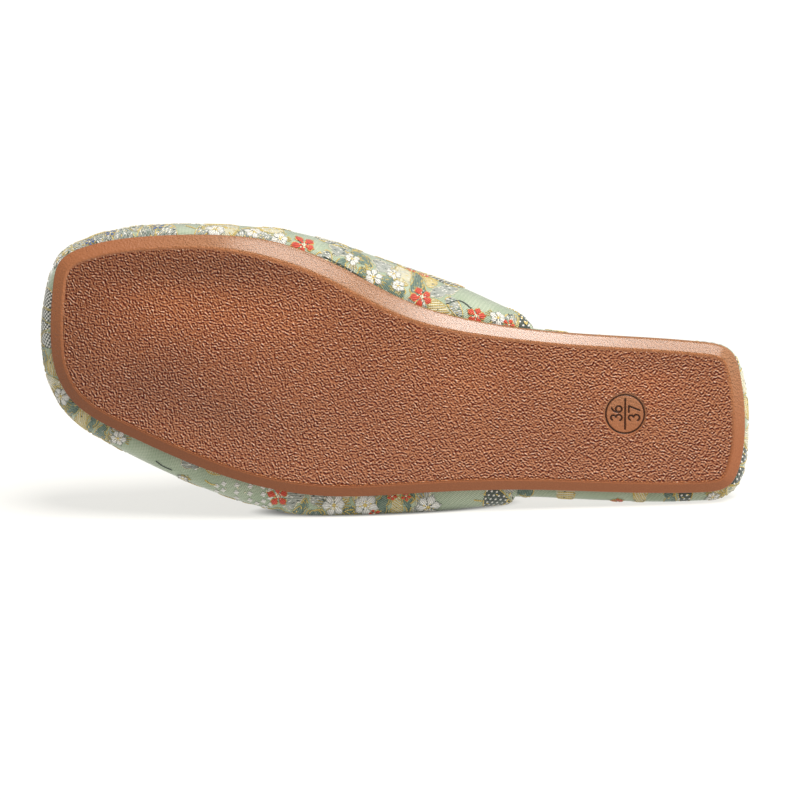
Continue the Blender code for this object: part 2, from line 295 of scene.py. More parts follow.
def left_of(way):
    """A step turned a quarter to the left."""
    return np.array((-way[1], way[0]))


def turning(angle):
    """What turns rows of flat places by an angle."""
    return np.array((direction(angle), left_of(direction(angle))))


def spring(along):
    """How far the forefoot curls up towards the toe."""
    return TOE_SPRING * (np.maximum(along - TOE_SPRING_START, 0) / (SOLE_LENGTH - TOE_SPRING_START)) ** 2


def heel_wedge(along):
    """How far the sole's top rises towards the heel."""
    return HEEL_RISE * smooth_step((HEEL_RISE_START - along) / HEEL_RISE_RUN)


def sole_top(along):
    """Height of the sole's top face."""
    return SOLE_THICKNESS + heel_wedge(along) + spring(along)


# Where the frame lies

def lying_rotation():
    """Turns the standing slipper onto its outer side."""
    about_x = Matrix.Rotation(math.radians(-90 - LEAN_BACK_DEG), 3, "X")
    about_y = Matrix.Rotation(math.radians(HEEL_DOWN_DEG), 3, "Y")
    return np.array(about_y @ about_x)


ROTATION = lying_rotation()


def turned(points):
    """Places or directions on the last, in millimetres, to the frame's directions, in metres."""
    return (np.asarray(points) * (-MM, -MM, MM)) @ ROTATION.T


def sole_loop(places, inset, up, rise):
    """One loop of the outsole, a distance inside its edge."""
    _, edge, outward = last.at(places)
    swell = smooth_step((edge[:, 0] - RIM_SWELL_FROM) / RIM_SWELL_RUN)
    swell = swell * (1 - smooth_step((edge[:, 0] - RIM_NARROW_FROM) / RIM_NARROW_RUN))
    inner, outer = np.maximum(outward[:, 1], 0), np.maximum(-outward[:, 1], 0)
    depth = inset * (1 + RIM_SWELL * swell * inner - RIM_OUTER_CUT * outer)
    up = up + RIM_SWELL_UP * swell * inner * min(up / 2, 1) * (1 - smooth_step((up - 2) / 3))
    along, across = (edge - outward * depth[:, None]).T
    return np.stack((along, across, spring(along) + up + rise * heel_wedge(along)), axis=1)


# The outsole's loops, from the tread's edge over its rim and side to its top
SOLE_PLACES = even_places(SOLE_EDGE_STEP)
SOLE_LINES = smooth_line([row[1:] for row in SOLE_PROFILE], SOLE_PROFILE_STEPS)
SOLE_LOOPS = np.array([sole_loop(SOLE_PLACES, *line) for line in SOLE_LINES])
SHIFT = np.array(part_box("outsole")[0]) - turned(SOLE_LOOPS.reshape(-1, 3)).min(axis=0)


def lay(points):
    """Places on the last, in millimetres, to places in the frame, in metres."""
    return turned(points) + SHIFT


# The camera keeps the photograph's angle: it looks at the sole from a little towards the inner side
PHOTO_PIXELS = 800
MM_PER_PIXEL = 0.35
VIEW_TARGET = (121.1, 33.25, 1.5)
VIEW_TILT_DEG = 5.5
VIEW_DISTANCE = 900.0
SENSOR_MM = 36.0


def view_axes():
    """Right, up and forward of the photograph, on the last."""
    tilt = math.radians(VIEW_TILT_DEG)
    right = np.array((-1.0, 0.0, 0.0))
    up = np.array((0.0, math.cos(tilt), math.sin(tilt)))
    forward = np.array((0.0, -math.sin(tilt), math.cos(tilt)))
    return right, up, forward


def put(name, data):
    """A new object in the scene."""
    made = bpy.data.objects.new(name, data)
    bpy.context.scene.collection.objects.link(made)
    return made


def make_camera():
    """The photograph's camera."""
    right, up, forward = view_axes()
    data = bpy.data.cameras.new("camera")
    data.sensor_width = SENSOR_MM
    data.lens = SENSOR_MM * VIEW_DISTANCE / (PHOTO_PIXELS * MM_PER_PIXEL)
    camera = put("camera", data)
    matrix = np.eye(4)
    matrix[:3, :3] = np.stack((turned(right), turned(up), turned(-forward)), axis=1) / MM
    matrix[:3, 3] = lay(np.array(VIEW_TARGET) - forward * VIEW_DISTANCE)
    camera.matrix_world = Matrix(matrix)
    bpy.context.scene.camera = camera


def pixel_ray(x, y):
    """Start and direction, in the frame, of the line of sight through a pixel of the photograph."""
    right, up, forward = view_axes()
    middle = PHOTO_PIXELS / 2
    aim = right * (x - middle) * MM_PER_PIXEL + up * (middle - y) * MM_PER_PIXEL + forward * VIEW_DISTANCE
    start = lay(np.array(VIEW_TARGET) - forward * VIEW_DISTANCE)
    return Vector(start), Vector(turned(aim)).normalized()


# Nodes and meshes

class Wire:
    """A socket of a node tree: arithmetic on it adds Math nodes, and node() adds any other node."""

    def __init__(self, tree, socket=None):
        self.tree = tree
        self.socket = socket

    def node(self, kind, settings=(), sockets=(), out=0):
        """Adds a node with its settings and the values or links of its sockets, and returns one output."""
        made = self.tree.nodes.new(kind)
        for name, value in dict(settings).items():
            setattr(made, name, value)
        for name, value in dict(sockets).items():
            if isinstance(value, Wire):
                self.tree.links.new(value.socket, made.inputs[name])
            else:
                made.inputs[name].default_value = value
        return Wire(self.tree, made.outputs[out])

    def painted(self, name, out="Fac"):
        """A value stored on the piece, for its finish."""
        return self.node("ShaderNodeAttribute", {"attribute_name": name}, (), out)

    def stored(self, name, kind):
        """A value stored on the piece, for a geometry tree."""
        return self.node("GeometryNodeInputNamedAttribute", {"data_type": kind}, {"Name": name})

    def other(self, out):
        """Another output of the same node."""
        return Wire(self.tree, self.socket.node.outputs[out])

    def maths(self, operation, *values):
        return self.node("ShaderNodeMath", {"operation": operation}, enumerate(values))

    def vector(self, operation, *values):
        return self.node("ShaderNodeVectorMath", {"operation": operation}, enumerate((self, *values)))

    def scaled(self, factor):
        return self.node("ShaderNodeVectorMath", {"operation": "SCALE"}, {0: self, "Scale": factor})

    def part(self, axis):
        return self.node("ShaderNodeSeparateXYZ", (), {0: self}, axis)

    def step(self, low, high):
        """Rises smoothly from 0 to 1 between two values."""
        sockets = {"Value": self, "From Min": low, "From Max": high}
        return self.node("ShaderNodeMapRange", {"interpolation_type": "SMOOTHSTEP"}, sockets)

    def blend(self, first, second):
        """Mixes two colours, with this wire as the second one's share."""
        return self.node("ShaderNodeMix", {"data_type": "RGBA"}, {0: self, 6: first, 7: second}, 2)

    def wave(self, pitch):
        """A smooth ripple from 0 to 1 with the given pitch."""
        return self.maths("SINE", self * (2 * math.pi / pitch)) * 0.5 + 0.5

    def __add__(self, other):
        return self.maths("ADD", self, other)

    def __radd__(self, other):
        return self.maths("ADD", other, self)

    def __sub__(self, other):
        return self.maths("SUBTRACT", self, other)

    def __rsub__(self, other):
        return self.maths("SUBTRACT", other, self)

    def __mul__(self, other):
        return self.maths("MULTIPLY", self, other)

    def __rmul__(self, other):
        return self.maths("MULTIPLY", other, self)

    def __truediv__(self, other):
        return self.maths("DIVIDE", self, other)

    def __rtruediv__(self, other):
        return self.maths("DIVIDE", other, self)


def linear(red, green, blue):
    """A colour read from the screen, 0 to 255, as the shaders want it."""
    share = np.array((red, green, blue)) / 255
    value = np.where(share <= 0.04045, share / 12.92, ((share + 0.055) / 1.055) ** 2.4)
    return (*(float(x) for x in value), 1.0)


def noise(source, scale, detail=2.0):
    """Soft noise; scale is in features a unit of the source."""
    return source.node("ShaderNodeTexNoise", (), {"Vector": source, "Scale": scale, "Detail": detail}, "Fac")


def new_material(name, paint, **constants):
    """A finish: paint takes the tree and returns what changes over the surface, by socket name."""
    material = bpy.data.materials.new(name)
    material.use_nodes = True
    shader = material.node_tree.nodes["Principled BSDF"]
    for label, value in constants.items():
        shader.inputs[label.replace("_", " ")].default_value = value
    for label, wire in paint(Wire(material.node_tree)).items():
        material.node_tree.links.new(wire.socket, shader.inputs[label])
    return material


def bump(height, depth_mm, strength=1.0):
    """A normal from a height of 0 to 1 that stands for a depth in millimetres."""
    sockets = {"Height": height, "Distance": depth_mm * MM, "Strength": strength}
    return height.node("ShaderNodeBump", (), sockets)


def new_piece(name, points, faces, material=None):
    """A smooth shaded piece from places in the frame and the corner numbers of its faces."""
    mesh = bpy.data.meshes.new(name)
    mesh.from_pydata(np.asarray(points).tolist(), [], [list(map(int, face)) for face in faces])
    mesh.shade_smooth()
    if material:
        mesh.materials.append(material)
    return put(name, mesh)


def give(piece, name, values):
    """Stores a number or a vector for each vertex of a piece; a flat place gets a third part of zero."""
    values = np.asarray(values, np.float32)
    if values.ndim == 2:
        values = np.column_stack((values, np.zeros((len(values), 3 - values.shape[1]), np.float32)))
    kind, field = ("FLOAT", "value") if values.ndim == 1 else ("FLOAT_VECTOR", "vector")
    piece.data.attributes.new(name, kind, "POINT").data.foreach_set(field, values.ravel())


def quads(rows, columns, closed=False):
    """Corner numbers of a grid of faces; closed joins its last column to its first."""
    across = columns if closed else columns - 1
    row, column = np.meshgrid(np.arange(rows - 1), np.arange(across), indexing="ij")
    near = row * columns + column
    beside = row * columns + (column + 1) % columns
    return np.stack((near, beside, beside + columns, near + columns), axis=-1).reshape(-1, 4)


def ladder(first, count):
    """Faces that close a loop of an even count, rung by rung."""
    faces = []
    for i in range(count // 2):
        corners = dict.fromkeys(k % count for k in (i, i + 1, -i - 1, -i))
        faces.append([first + k for k in corners])
    return faces


def hex_points(low, high, step):
    """Points of an even triangular net over a box."""
    rows = np.arange(low[1], high[1], step * math.sqrt(0.75))
    columns = np.arange(low[0], high[0], step)
    x, y = np.meshgrid(columns, rows)
    x = x + (np.arange(len(rows)) % 2)[:, None] * step / 2
    return np.stack((x.ravel(), y.ravel()), axis=1)


def inside(points, loop):
    """Which points lie inside a loop."""
    found = np.zeros(len(points), bool)
    for a, b in zip(loop, np.roll(loop, -1, axis=0)):
        rises = (a[1] > points[:, 1]) != (b[1] > points[:, 1])
        slope = (b[0] - a[0]) / (b[1] - a[1] if b[1] != a[1] else 1.0)
        found ^= rises & (points[:, 0] < a[0] + (points[:, 1] - a[1]) * slope)
    return found


def distances(points, others):
    """Distance from each point to the nearest of the others, in a plane."""
    tree = KDTree(len(others))
    for i, other in enumerate(others):
        tree.insert((*other, 0), i)
    tree.balance()
    return np.array([tree.find((*point, 0))[2] for point in points])


def net_inside(loop, step, room):
    """Points of an even net inside a loop that keep some room from it."""
    net = hex_points(loop.min(axis=0), loop.max(axis=0), step)
    net = net[inside(net, loop)]
    return net[distances(net, loop) > room]


def filled(loops, points):
    """Triangles between an outer loop, any loops inside it, and points: places, then corner numbers."""
    places = np.concatenate((*loops, points))
    edges = []
    first = 0
    for loop in loops:
        edges += [(first + i, first + (i + 1) % len(loop)) for i in range(len(loop))]
        first += len(loop)
    out = delaunay_2d_cdt([Vector(place) for place in places], edges, [], 2, 1e-6)
    places = np.array([place[:] for place in out[0]])
    triangles = np.array(out[2])
    for hole in loops[1:]:
        triangles = triangles[~inside(places[triangles].mean(axis=1), hole)]
    return places, triangles.tolist()


def new_tree(name, inputs):
    """A geometry tree with named inputs, given as (name, kind, value), and the wires that they come in on."""
    tree = bpy.data.node_groups.new(name, "GeometryNodeTree")
    tree.interface.new_socket("Geometry", in_out="INPUT", socket_type="NodeSocketGeometry")
    for label, kind, value in inputs:
        socket = tree.interface.new_socket(label, in_out="INPUT", socket_type="NodeSocket" + kind)
        if value is not None:
            socket.default_value = value
    tree.interface.new_socket("Geometry", in_out="OUTPUT", socket_type="NodeSocketGeometry")
    start = tree.nodes.new("NodeGroupInput")
    return tree, {socket.name: Wire(tree, socket) for socket in start.outputs if socket.name}


def close_tree(geometry, material):
    """Ends a tree: instances become plain mesh, in one finish."""
    plain = geometry.node("GeometryNodeRealizeInstances", (), {0: geometry})
    dressed = plain.node("GeometryNodeSetMaterial", (), {"Geometry": plain, "Material": material})
    end = geometry.tree.nodes.new("NodeGroupOutput")
    geometry.tree.links.new(dressed.socket, end.inputs[0])


def keep_result(piece):
    """Keeps what a piece's modifier makes as its plain mesh."""
    graph = bpy.context.evaluated_depsgraph_get()
    made = piece.evaluated_get(graph)
    mesh = bpy.data.meshes.new_from_object(made, preserve_all_data_layers=True, depsgraph=graph)
    piece.modifiers.clear()
    piece.data = mesh
    mesh.name = piece.name


def run_tree(piece, tree, values):
    """Runs a tree on a piece and keeps what it makes as the piece's plain mesh."""
    modifier = piece.modifiers.new(tree.name, "NODES")
    modifier.node_group = tree
    inputs = [item for item in tree.interface.items_tree if item.in_out == "INPUT"]
    for item in inputs:
        if item.name in values:
            modifier[item.identifier] = values[item.name]
    keep_result(piece)


# The outsole

def grain_height(source):
    """Height, 0 to 1, of the tread's fine crinkled grain, whose wrinkles turn from heel to toe."""
    turn = math.radians(GRAIN_TOE_DEG - GRAIN_HEEL_DEG) / SOLE_LENGTH
    way = source.part("X") * turn + math.radians(GRAIN_HEEL_DEG)
    sockets = {"Vector": source, "Scale": GRAIN_SCALE, "Frequency": GRAIN_WAVES}
    sockets.update({"Anisotropy": GRAIN_ORDER, "Orientation": way})
    return source.node("ShaderNodeTexGabor", {"gabor_type": "2D"}, sockets, "Value")


def rubber_paint(nodes):
    """Brown moulded rubber: a crinkled grain on the tread, a fine sandy skin on rim and side."""
    flat = nodes.painted("flat", "Vector")
    stored = "grain", "shade", "cut", "dull", "slope"
    grain, shade, cut, dull, slope = (nodes.painted(name) for name in stored)
    wrinkles = grain_height(flat)
    ridges = wrinkles.step(0.33, 0.66)
    painted_highlight_on_crests = wrinkles.step(0.58, 0.86)
    cloudy = noise(flat, 0.035, 3.0).step(0.3, 0.7)
    speckle = noise(flat, 2.4, 2.0)
    toe_side = flat.part("X").step(60.0, 235.0)
    inner_side = flat.part("Y").step(12.0, 60.0) * (1 - flat.part("X").step(165.0, 225.0) * 0.8)
    waist = flat.part("X").step(25.0, 70.0) * (1 - flat.part("X").step(98.0, 125.0))
    ridge = cloudy.blend(linear(162, 97, 50), linear(173, 106, 56))
    # Painted shade: the tread's ridges darken towards the toe.
    ridge = (toe_side * 0.5).blend(ridge, linear(147, 87, 44))
    # Painted highlight: the crests of the grain are pale.
    ridge = painted_highlight_on_crests.blend(ridge, linear(220, 176, 146))
    # Painted shade: the pits between the ridges are nearly black. The stored shade adds the tread's painted
    # light and shade.
    tread = ridges.blend(linear(79, 14, 0), ridge).scaled(1 + shade)
    plain = (speckle.step(0.35, 0.7) * 0.6).blend(linear(141, 85, 54), linear(159, 100, 66))
    # Painted highlight: the rim is paler on the inner side, where its gleam lies.
    plain = (inner_side * 0.5).blend(plain, linear(164, 127, 93))
    # Painted warm shade on the rim's inner slope, on the inner side.
    plain = (inner_side * slope).blend(plain, linear(182, 114, 70))
    # Painted shade: the rim darkens round the toe, away from the inner side.
    front = toe_side * (1 - flat.part("Y").step(40.0, 80.0))
    plain = (front * 0.5).blend(plain, linear(100, 55, 30))
    colour = grain.step(0.0, 1.0).blend(plain, tread)
    # Painted shade in the size mark's engraved strokes.
    colour = cut.blend(colour, linear(52, 23, 10))
    rough = 0.36 + speckle * 0.14 + (1 - ridges) * grain * 0.2
    sand = noise(flat, 1.4, 1.0) * (1 - grain) * (0.1 + 1.1 * inner_side)
    relief = bump(sand + noise(flat, 1.5, 2.0) * 0.14 * grain + wrinkles * grain, GRAIN_BUMP)
    gloss = ((1 - grain) * (0.05 + inner_side * (0.08 + 0.13 * waist)) + ridges * grain) * (1 - dull)
    return {"Base Color": colour, "Roughness": rough, "Coat Weight": gloss, "Normal": relief}


def grain_tree():
    """Raises the tread's grain along the way it faces."""
    inputs = [("Depth", "Float", GRAIN_DEPTH), ("Facing", "Vector", (0, 0, 1)), ("Rubber", "Material", None)]
    tree, given = new_tree("crinkled grain", inputs)
    nodes = Wire(tree)
    height = grain_height(nodes.stored("flat", "FLOAT_VECTOR")) * nodes.stored("grain", "FLOAT")
    lift = given["Facing"].scaled(height * given["Depth"] * MM)
    raised = nodes.node("GeometryNodeSetPosition", (), {"Geometry": given["Geometry"], "Offset": lift})
    close_tree(raised, given["Rubber"])
    return tree


def tread_shade(along, across):
    """How much lighter or darker the tread is, from the listed painted light and shade."""
    total = np.zeros(len(along))
    for _, middle, reach, amount in TREAD_PAINTED_LIGHT:
        far = ((along - middle[0]) / reach[0]) ** 2 + ((across - middle[1]) / reach[1]) ** 2
        total += amount * np.exp(-far)
    return total


def circle(centre, radius, count):
    """A loop of points round a centre."""
    angle = np.linspace(0, 2 * math.pi, count + 1)[:-1]
    return np.array(centre) + radius * np.stack((np.cos(angle), np.sin(angle)), axis=1)


def make_outsole(rubber):
    """The sole: rim, side and top as loops, and a finely divided tread with its grain."""
    count = len(SOLE_PLACES)
    edge = SOLE_LOOPS[0][:, :2]
    hole = circle(MARK_PLACE, MARK_FIELD, MARK_RIM_POINTS)
    net = net_inside(edge, TREAD_STEP, TREAD_STEP / 2)
    net = net[np.hypot(*(net - MARK_PLACE).T) - MARK_FIELD > TREAD_STEP / 2]
    places, triangles = filled((edge, hole), net)
    along = places[:, 0]
    tread = np.stack((along, places[:, 1], spring(along) + TREAD_UP), axis=1)
    from_mark = np.hypot(*(places - MARK_PLACE).T) - MARK_FIELD
    grain = SLOPE_GRAIN + (1 - SLOPE_GRAIN) * smooth_step(distances(places, edge) / RIM_FADE)
    grain = grain * smooth_step(from_mark / MARK_FADE)
    side = SOLE_LOOPS[1:].reshape(-1, 3)
    _, _, outward = last.at(SOLE_PLACES)
    inset = SOLE_LINES[1:, :1]
    slope_share = smooth_step((inset - RIM_CREST_INSET) / (SOLE_LINES[0, 0] - RIM_CREST_INSET))
    outer_side = smooth_step(-outward[:, 1])
    slope_grain = slope_share * (SLOPE_GRAIN + (1 - SLOPE_GRAIN) * outer_side)
    slope = smooth_step((inset - SLOPE_FROM) / SLOPE_RUN) * np.ones(count)
    points = np.concatenate((tread, side))
    ring = quads(len(SOLE_LOOPS), count, True)
    ring = np.where(ring < count, ring, ring - count + len(tread))
    top = ladder(len(points) - count, count)
    faces = [face[::-1] for face in triangles] + list(ring) + top
    piece = new_piece("outsole_rubber", lay(points), faces)
    give(piece, "flat", points)
    grain[:count] = slope_grain[0]
    for name, values in (("slope", slope), ("dull", slope * outer_side)):
        on_tread = np.zeros(len(tread))
        on_tread[:count] = values[0]
        give(piece, name, np.concatenate((on_tread, values.ravel())))
    give(piece, "grain", np.concatenate((grain, slope_grain.ravel())))
    give(piece, "shade", tread_shade(points[:, 0], points[:, 1]))
    give(piece, "cut", np.zeros(len(points)))
    facing = turned((0, 0, -1)) / MM
    run_tree(piece, grain_tree(), {"Facing": facing.tolist(), "Rubber": rubber})
    return piece


def arc(centre, radius, start_deg, end_deg):
    """Closely spaced points on an arc."""
    angle = np.radians(np.linspace(start_deg, end_deg, STROKE_POINTS))
    return np.array(centre) + radius * np.stack((np.cos(angle), np.sin(angle)), axis=1)


def straight(start, end):
    """Closely spaced points on a line."""
    return np.linspace(start, end, STROKE_POINTS)


# Strokes of the numerals, in a box one high
NUMERALS = {
    "3": (arc((0.28, 0.76), 0.22, 155, -75), arc((0.28, 0.27), 0.27, 80, -155)),
    "6": (arc((0.3, 0.28), 0.27, 0, 360), arc((0.62, 0.36), 0.6, 185, 112)),
    "7": (straight((0.02, 0.97), (0.58, 0.97)), straight((0.58, 0.97), (0.2, 0.0))),
}


def mark_strokes():
    """Points of the size mark's strokes, from its middle: across to the right, along upwards."""
    strokes = [circle((0, 0), MARK_RING, MARK_RING_POINTS), straight((-MARK_BAR / 2, 0), (MARK_BAR / 2, 0))]
    for row, digits in ((NUMERAL_ROW, "36"), (-NUMERAL_ROW, "37")):
        for i, digit in enumerate(digits):
            corner = np.array(((i - 1) * NUMERAL_PACE + NUMERAL_SHIFT, row - NUMERAL_HEIGHT / 2))
            strokes += [corner + stroke * NUMERAL_HEIGHT for stroke in NUMERALS[digit]]
    return np.concatenate(strokes)


def make_size_mark(rubber):
    """The smooth round field with the engraved ring, bar and size."""
    rim = circle(MARK_PLACE, MARK_FIELD, MARK_RIM_POINTS)
    net = hex_points(rim.min(axis=0), rim.max(axis=0), MARK_STEP)
    reach = np.hypot(*(net - MARK_PLACE).T)
    net = net[reach < MARK_FIELD - MARK_STEP / 2]
    places, triangles = filled((rim,), net)
    offset = places - MARK_PLACE
    stroke_gap = distances(offset[:, ::-1], mark_strokes())
    cut = smooth_step((MARK_STROKE - stroke_gap) / MARK_STROKE * 1.4)
    border = smooth_step((MARK_FIELD - np.hypot(*offset.T)) / MARK_BORDER)
    up = TREAD_UP + (MARK_UP - TREAD_UP) * border + cut * MARK_DEPTH
    points = np.concatenate((places, (spring(places[:, 0]) + up)[:, None]), axis=1)
    piece = new_piece("outsole_size_mark", lay(points), [face[::-1] for face in triangles], rubber)
    give(piece, "flat", points)
    give(piece, "cut", cut)
    for name in ("grain", "shade"):
        give(piece, name, np.zeros(len(points)))
    return piece


# The upper's cloth

UPPER_ROWS = 120
MARGIN_STEPS = 4
ROLL_STEPS = 12
CROWN_STEPS = 36
COLLAR_OUTER_ALONG = 79.0
COLLAR_INNER_ALONG = 73.5
THROAT = (118.0, 36.0)
RIDGE_TOE = (218.0, 57.0)
RIDGE_PACE = 1.35
INSTEP_FALL = 1.5
SECTION_SQUARENESS = 2.4
FEATHER_INSET = 0.5
LOW_SWEEP = 0.6
LOW_SWEEP_POWER = 0.7
LASTING_MARGIN = 8.0
HEM_RADIUS = 1.0
HEM_FLAP = 7.0
HEM_TURN_STEPS = 6
HEM_FLAP_STEPS = 4
CLOTH_THICKNESS = 0.5
LINING_DEPTH = 1.0
LINING_START = 2
CLOTH_SPAN = 500.0
CREASE_START = 0.3
CREASE_END = 0.5

# Soft creases: where they run on the last as (along, across) from one end to the other,
# how wide they are and how far they stand up or, below zero, sink, in mm
CREASES = (
    ("flex line, inner", (176.0, 96.0), (158.0, 62.0), 3.6, -0.55),
    ("flex ridge, inner", (168.0, 97.0), (152.0, 66.0), 4.0, 0.4),
    ("flex line, outer", (178.0, -2.0), (160.0, 34.0), 3.6, -0.5),
    ("flex ridge, outer", (170.0, -4.0), (152.0, 26.0), 4.2, 0.35),
    ("toe corner pleat, inner", (247.0, 82.0), (232.0, 70.0), 2.0, -0.4),
    ("toe corner pleat, inner side", (236.0, 92.0), (224.0, 80.0), 2.2, -0.35),
    ("toe corner pleat, outer", (245.0, 32.0), (232.0, 44.0), 2.0, -0.4),
    ("toe corner pleat, outer side", (230.0, 14.0), (220.0, 30.0), 2.4, -0.35),
)


def vamp_height(along):
    """Height of the upper's ridge above the sole's top, falling from the instep to the toe box."""
    reach = np.maximum((RIDGE_TOE[0] - along) / (RIDGE_TOE[0] - THROAT[0]), 0)
    return TOE_BOX_HEIGHT + (INSTEP_HEIGHT - TOE_BOX_HEIGHT) * reach**INSTEP_FALL


def crown_angles():
    """Angles that divide the squarish quarter round of a section into even steps."""
    fine = np.linspace(0, math.pi / 2, FINE_STEPS)
    power = 2 / SECTION_SQUARENESS
    curve = np.stack((np.abs(np.cos(fine)) ** power, np.sin(fine) ** power), axis=1)
    length = run_along(curve)
    return np.interp(np.linspace(0, length[-1], CROWN_STEPS + 1), length, fine)


def upper_side(places, shares):
    """Rows of the upper's outer face up one side, each from its lasting margin over the belly to the ridge.

    shares: part of the way from collar to toe, which sets where each row meets the ridge
    """
    columns, edge, outward = last.at(places)
    flare, belly = columns["flare"][:, None], columns["belly"][:, None]
    ridge_share = (1 - (1 - shares) ** RIDGE_PACE)[:, None]
    ridge = np.array(THROAT) + ridge_share * (np.array(RIDGE_TOE) - np.array(THROAT))

    margin = np.linspace(LASTING_MARGIN, FEATHER_INSET, MARGIN_STEPS + 1)[None, :-1]
    roll = np.linspace(0, math.pi / 2, ROLL_STEPS + 1)[None, :]
    crown = crown_angles()[None, 1:]
    power = 2 / SECTION_SQUARENESS
    inward = 1 - np.abs(np.cos(crown)) ** power
    climb = np.sin(crown) ** power

    rows = len(places)
    rolled = -FEATHER_INSET + (flare + FEATHER_INSET) * np.sin(roll)
    out = np.repeat(-margin, rows, axis=0), rolled, np.repeat(flare, CROWN_STEPS, axis=1)
    out = np.concatenate(out, axis=1)
    lifted = GAP + (belly - GAP) * (1 - np.cos(roll))
    low = np.full((rows, MARGIN_STEPS), GAP), lifted, np.repeat(belly, CROWN_STEPS, axis=1)
    low = np.concatenate(low, axis=1)
    plain = MARGIN_STEPS + ROLL_STEPS + 1
    inward = np.concatenate((np.zeros(plain), inward[0]))
    climb = np.concatenate((np.zeros(plain), climb[0]))

    heading = np.stack((-outward[:, 1], outward[:, 0]), axis=1)
    to_ridge = ridge - (edge + outward * flare)
    toward = np.sum(to_ridge * outward, axis=1)[:, None]
    forward = np.sum(to_ridge * heading, axis=1)[:, None]
    height_share = low / vamp_height(edge[:, :1])
    height_share = height_share + (1 - height_share) * climb
    collar_sweep = LOW_SWEEP * height_share**LOW_SWEEP_POWER + (1 - LOW_SWEEP) * (1 - (1 - inward) ** 2)
    sweep = collar_sweep + (inward - collar_sweep) * shares[:, None]
    flat = edge[:, None, :] + outward[:, None, :] * (out + toward * inward)[..., None]
    flat = flat + heading[:, None, :] * (forward * sweep)[..., None]
    along, across = flat[..., 0], flat[..., 1]
    up = sole_top(along) + low + (vamp_height(along) - spring(along) - low) * climb
    return np.stack((along, across, up), axis=-1)


def facing(grid):
    """The way each place of a grid of places faces; rows run forward and columns to the right."""
    normal = np.cross(np.gradient(grid, axis=0), np.gradient(grid, axis=1))
    return normal / np.maximum(np.linalg.norm(normal, axis=-1, keepdims=True), 1e-9)


def crease_height(along, across):
    """How far the hand-placed creases lift the cloth."""
    total = np.zeros_like(along)
    for _, start, end, width, height in CREASES:
        start, end = np.array(start), np.array(end)
        way = (end - start) / np.linalg.norm(end - start)
        offset = np.stack((along, across), axis=-1) - start
        share = (offset @ way) / np.linalg.norm(end - start)
        aside = offset @ left_of(way)
        fade = smooth_step(share / CREASE_START) * smooth_step((1 - share) / CREASE_END)
        total += height * np.exp(-((aside / width) ** 2)) * fade
    return total


def upper_grid():
    """Both sides as one grid: rows from the collar to the toe, columns from the outer to the inner margin."""
    middle = last.toe + (last.length - last.toe) / 2
    outer_start = place_at_along(COLLAR_OUTER_ALONG, 0, last.toe / 2)
    inner_start = place_at_along(COLLAR_INNER_ALONG, middle, last.length)
    shares = np.linspace(HEM_RADIUS / (last.toe - outer_start), 1, UPPER_ROWS + 1)
    outer = upper_side(outer_start + shares * (last.toe - outer_start), shares)
    inner = upper_side(inner_start + shares * (last.toe - inner_start), shares)
    return np.concatenate((outer, inner[:, -2::-1]), axis=1)


def hem_rows(grid, normal):
    """The cloth turned over the collar: a flap inside, then the turn, up to the first row."""
    edge, out = grid[0], normal[0]
    back = grid[0] - grid[1]
    back = back - np.sum(back * out, axis=1, keepdims=True) * out
    back = back / np.linalg.norm(back, axis=1, keepdims=True)
    rows = []
    for length in np.linspace(HEM_FLAP, 0, HEM_FLAP_STEPS + 1)[:-1]:
        rows.append(edge - 2 * HEM_RADIUS * out - length * back)
    for angle in np.linspace(math.pi, 0, HEM_TURN_STEPS + 1)[:-1]:
        rows.append(edge - HEM_RADIUS * (1 - math.cos(angle)) * out + HEM_RADIUS * math.sin(angle) * back)
    return np.array(rows)


class Cloth:
    """A sheet of cloth: its places in the frame, its faces, and its places on the flat cloth in mm."""

    def __init__(self, name, points, faces, flat):
        self.points = points
        self.faces = [list(face) for face in faces]
        self.flat = flat
        self.sheet = new_piece(name, points, faces)
        give(self.sheet, "cloth", flat)
        self.corners = [corner for face in self.faces for corner in (face[:3], [face[0], *face[2:]])]
        self.finder = BVHTree.FromPolygons([Vector(point) for point in points], self.corners)

    def at_pixel(self, x, y):
        """The place on the flat cloth that a pixel of the photograph shows, or None."""
        hit, _, index, _ = self.finder.ray_cast(*pixel_ray(x, y))
        if hit is None:
            return None
        corners = self.corners[index]
        places = [Vector(self.points[k]) for k in corners]
        flat = [Vector((*self.flat[k], 0)) for k in corners]
        return np.array(barycentric_transform(hit, *places, *flat)[:2])

    def solid(self, name, thickness, material):
        """A closed piece of the cloth's thickness, on the inside of the sheet."""
        piece = put(name, self.sheet.data.copy())
        piece.data.materials.append(material)
        thicken(piece, thickness)
        return piece


def thicken(piece, thickness):
    """Gives a sheet a wall on its inside."""
    wall = piece.modifiers.new("wall", "SOLIDIFY")
    wall.thickness = thickness * MM
    wall.offset = -1
    keep_result(piece)


def flatten(points, faces):
    """Unwraps a sheet with little stretch: its places on the flat cloth, in true millimetres."""
    piece = new_piece("unwrapping", points, faces)
    piece.data.uv_layers.new(name="flat")
    bpy.context.view_layer.objects.active = piece
    piece.select_set(True)
    bpy.ops.object.mode_set(mode="EDIT")
    bpy.ops.mesh.select_all(action="SELECT")
    bpy.ops.uv.unwrap(method="MINIMUM_STRETCH", margin=0.0)
    bpy.ops.object.mode_set(mode="OBJECT")
    corners = np.zeros(len(piece.data.loops), int)
    piece.data.loops.foreach_get("vertex_index", corners)
    places = np.zeros(2 * len(corners))
    piece.data.uv_layers["flat"].uv.foreach_get("vector", places)
    flat = np.zeros((len(points), 2))
    flat[corners] = places.reshape(-1, 2)
    bpy.data.objects.remove(piece)
    unwrapped = np.column_stack((flat, np.zeros(len(flat))))
    return flat * math.sqrt(sheet_area(points, faces) / sheet_area(unwrapped, faces))


def sheet_area(points, faces):
    """Area of four-cornered faces."""
    a, b, c, d = (points[np.asarray(faces)[:, k]] for k in range(4))
    return np.linalg.norm(np.cross(c - a, d - b), axis=1).sum() / 2


